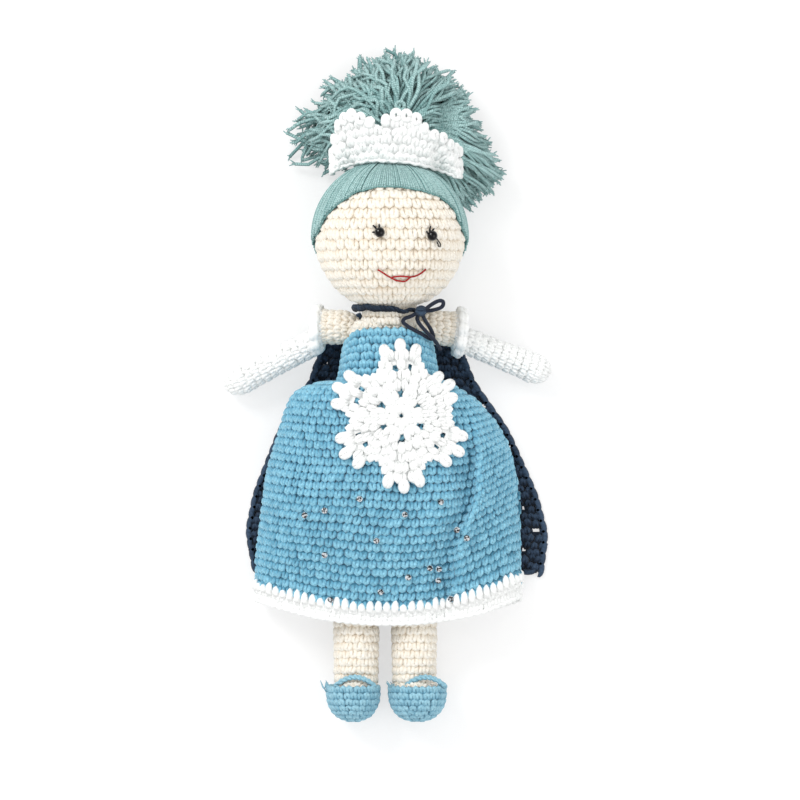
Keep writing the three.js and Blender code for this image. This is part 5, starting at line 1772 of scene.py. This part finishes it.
def cape_batches():
    up = (0, 0, 1)
    shares = np.linspace(-1, 1, 91)
    grid = cape_point(shares[:, None], np.linspace(0.01, CAPE_TO, 81), 1.0)
    middles = (grid[1:, 1:] + grid[:-1, :-1]) / 2
    ground = plate(grid, ~cape_open(middles, CAPE_HOLE), (0, 0, -0.7))
    rows = [cape_point(shares, down, 1.7) for down in np.linspace(CAPE_TO, CAPE_FROM, CAPE_ROWS + 1)]
    stitches = rounds(
        rows, CAPE_STITCH, 5, plump=0.34, skip=in_gap, closed=False, up=up, sink=0.45,
        loose=3.0)
    sides = [
        cape_shell((c, down), (c, down + SIDE_SHELL), (c * 1.1, 0, 0))
        for c in (-1, 1) for down in np.arange(0.1, 0.97, SIDE_SHELL)
    ]
    foot = [
        cape_shell((share, CAPE_TO), (share + FOOT_SHELL, CAPE_TO), (0, -1.0, 0))
        for share in np.arange(-0.99, 0.96, FOOT_SHELL)
    ]
    edges = strands(sides + foot, 1.5, up, 6, depth=0.75)
    return ground, [stitches, edges]


cape_flat_ground, cape_stitches = cape_batches()
cape_ground = piece("cape_ground", [cape_flat_ground], NAVY)
cape = piece("cape_yarn", cape_stitches, NAVY)
dress(cape_ground, "cape", "navy_yarn")
dress(cape, "cape", "navy_yarn", "cape")
# %% [markdown]
# The cape's top edge is a thick cord round the neck. It ends in a knot at the left of the chin,
# with a short loop, a long loop and a tail: one cord of chain stitches from the knot to its end.

# %% Collar and knot
COLLAR_REACH = 17.3
COLLAR_Y = 37.0
COLLAR_CORDS = 3
COLLAR_TWISTS = 17
COLLAR_YARN = 0.98
COLLAR_CORE = 0.75
COLLAR_UNEVEN = 0.6
# Each wave of lumps: its size, how many there are round the neck, and where it starts.
COLLAR_LUMPS = [(0.28, 9, 0), (0.2, 14, 1)]
THIN_PLACES, THIN_SHARES = [0, 7], [1.05, 0.72]
RISE_PLACES, RISES = [-17, -10, 2, 8, 15], [1.6, 1.5, 0.7, -0.2, 0.4]
KNOT_TURN = math.radians(45)
KNOT_REACH = 22.35
KNOT_SIZE = (2.0, 1.7, 1.9)
KNOT_LEANS = (0.2, 1.1, 2.2)
KNOT_YARN = 1.05
KNOT = np.array([
    NECK_PIVOT[0] + KNOT_REACH * math.cos(KNOT_TURN), COLLAR_Y,
    NECK_PIVOT[2] + KNOT_REACH * math.sin(KNOT_TURN),
])
collar_turn = full_turn(160)
collar_x = COLLAR_REACH * np.cos(collar_turn)
thin = np.interp(collar_x, THIN_PLACES, THIN_SHARES)
rise = np.interp(collar_x, RISE_PLACES, RISES)
lumps = sum(size * np.sin(count * collar_turn + start) for size, count, start in COLLAR_LUMPS)
collar_batches = []
for start in full_turn(COLLAR_CORDS):
    twist = COLLAR_TWISTS * collar_turn + start + COLLAR_UNEVEN * np.sin(3 * collar_turn)
    reach = COLLAR_REACH + COLLAR_CORE * thin * np.cos(twist)
    path = np.stack([
        NECK_PIVOT[0] + reach * np.cos(collar_turn),
        COLLAR_Y + rise + lumps + COLLAR_CORE * thin * np.sin(twist),
        NECK_PIVOT[2] + reach * np.sin(collar_turn),
    ], 1)
    collar_batches.append(strands([path], COLLAR_YARN * thin, (0, 1, 0.01), 6, True, depth=0.75))
collar = piece("cape_collar_yarn", collar_batches, NAVY)
dress(collar, "torso", "navy_yarn", "cape_collar")
knot_turns = full_turn(24)
wraps = []
for lean in KNOT_LEANS:
    wraps.append(KNOT + np.array(KNOT_SIZE) * np.stack([
        np.cos(knot_turns), np.sin(knot_turns) * math.cos(lean),
        np.sin(knot_turns) * math.sin(lean),
    ], 1))
knot = piece("tie_knot_yarn", [strands(wraps, KNOT_YARN, (0.3, 0.5, 0.8), 8, True, depth=0.8)], NAVY)
dress(knot, "torso", "navy_yarn", "tie_knot")

# %% Tied cord
SHORT_LOOP = [
    (17.6, 38.2, 51.6), (20, 40.2, 54), (24, 42.2, 55.6), (26.2, 41.4, 55.2),
    (25.4, 38.6, 53.4), (21.6, 37.4, 51), (18.5, 36.9, 49.6),
]
LONG_LOOP = [
    (12.2, 35.6, 48.4), (9.4, 34, 47.4), (6.4, 33.2, 46.8), (5.4, 31.4, 46.4), (8.2, 29.2, 46.9),
    (11.4, 27.4, 46), (15, 25.6, 43.4), (18.6, 23.2, 39.2), (20.9, 22.8, 36.8), (21, 25, 37.2),
    (19.4, 28.4, 40.6), (17, 31.8, 44), (15.2, 35.4, 47.4),
]
TAIL = [
    (13.6, 35.2, 46.9), (12.6, 33.2, 45.4), (13.8, 30.6, 45.4), (16.2, 27.8, 44.6), (18.8, 25.2, 42.8),
    (21.2, 22.8, 40.6), (23.2, 20.2, 37), (24.4, 17.8, 32.6),
]
CORD_DIAMETER = 2.0
UNDER_KNOT = (14.6, 37.0, 48.0)
cord_points = [*SHORT_LOOP, tuple(KNOT), *LONG_LOOP, UNDER_KNOT, *TAIL]
cord_data = bpy.data.curves.new("tie_cord_yarn", "CURVE")
cord_data.dimensions = "3D"
cord_data.bevel_depth = CORD_DIAMETER / 2 * MM
cord_data.bevel_resolution = 3
cord_data.resolution_u = 8
cord_data.use_fill_caps = True
spline = cord_data.splines.new("NURBS")
spline.points.add(len(cord_points) - 1)
for point, place in zip(spline.points, cord_points):
    point.co = (*in_frame(place), 1)
spline.order_u = 3
spline.use_endpoint_u = True
tie = bpy.data.objects.new("tie_cord_yarn", cord_data)
bpy.context.scene.collection.objects.link(tie)
chain = Finish("navy_chain_cord", Roughness=0.85, Sheen_Weight=0.1)
chain.feed("Base Color", chain.mix(chain.noise(1500, 3), dye(10, 15, 26), dye(38, 50, 74)))
chain.bump(chain.noise(700, 2), 0.8, 0.0004)
cord_data.materials.append(chain.material)
dress(tie, "torso", "navy_yarn", "tie_loop_short", "tie_loop_long", "tie_tail")

# %% [markdown]
# The fibre filling inside the forms never shows, so those solids stay as they are, in a fibre
# finish of their own. The solids have no strand numbers, so their finish reads plain noise.

# %% Filling
fibre = Finish("loose_fibre", Roughness=0.95, Sheen_Weight=0.3)
fibre_noise = fibre.noise(260, 4)
fibre.feed("Base Color", fibre.mix(fibre_noise, dye(214, 214, 208), dye(244, 244, 240)))
fibre.bump(fibre_noise, 0.6, 0.0008)
inside = [node for node in frame["nodes"] if "stuffing" in node]
for node in inside:
    solid = frame["nodes"][node]
    solid.data.materials.clear()
    solid.data.materials.append(fibre.material)
print("filled forms:", len(inside))

# %% [markdown]
# The table is a white sheet. To the camera about half of its brightness is its own, so it stays
# nearly white while the doll's soft shadow still shows on it. A large lamp at the upper left and
# a bright even sky give the plain daylight of a product table, a weaker lamp fills the right side,
# and a small one puts a glint on the beads. Reflections see a darker sky, as they would indoors,
# so beads and stones stay dark between their glints.

# %% Table and light
PAPER_GLOW = 1.06
GLOW_SHARE = 0.55
SKY_STRENGTH = 0.93
SKY_TO_CAMERA = 0.12
SKY_TO_REFLECTIONS = -0.63
bpy.ops.object.select_all(action="DESELECT")
bpy.ops.mesh.primitive_plane_add(size=8, location=(0, 0, -0.0002))
table = bpy.context.object
table.name = "table"
paper = Finish("white_table", Roughness=0.9)
paper.feed("Base Color", paper.mix(paper.noise(30), dye(246, 246, 246), dye(250, 250, 250)))
rays = [
    paper.node("ShaderNodeLightPath", output=kind)
    for kind in ("Is Camera Ray", "Is Glossy Ray", "Is Transmission Ray")
]
seen = rays[0] + rays[1] + rays[2]
lit = Value(paper, paper.shader.outputs[0])
glow = paper.node("ShaderNodeEmission", {}, {"Color": (1, 1, 1, 1), "Strength": PAPER_GLOW})
mixed = paper.node("ShaderNodeMixShader", {}, {0: seen * GLOW_SHARE, 1: lit, 2: glow})
paper.fill(paper.tree.nodes["Material Output"].inputs["Surface"], mixed)
table.data.materials.append(paper.material)

world = bpy.data.worlds.new("daylight")
bpy.context.scene.world = world
world.use_nodes = True
sky = Nodes(world.node_tree)
background = sky.tree.nodes["Background"]
to_camera = sky.node("ShaderNodeLightPath", output="Is Camera Ray") * SKY_TO_CAMERA
to_reflections = sky.node("ShaderNodeLightPath", output="Is Glossy Ray") * SKY_TO_REFLECTIONS
sky.fill(background.inputs["Color"], (1, 1, 1, 1))
sky.fill(background.inputs["Strength"], to_reflections + SKY_STRENGTH + to_camera)


def lamp(name, place, size, watts):
    data = bpy.data.lights.new(name, "AREA")
    data.shape = "DISK"
    data.size = size
    data.energy = watts
    made = bpy.data.objects.new(name, data)
    bpy.context.scene.collection.objects.link(made)
    made.location = place
    made.rotation_euler = (-Vector(place)).to_track_quat("-Z", "Y").to_euler()
    return made


lamp("window", (-1.44, 1.6, 2.08), 1.1, 34)
lamp("room", (1.2, -0.4, 1.6), 1.6, 6)
lamp("glint", (-0.25, 0.35, 2.2), 0.12, 1.2)
bpy.context.scene.view_settings.view_transform = "Standard"
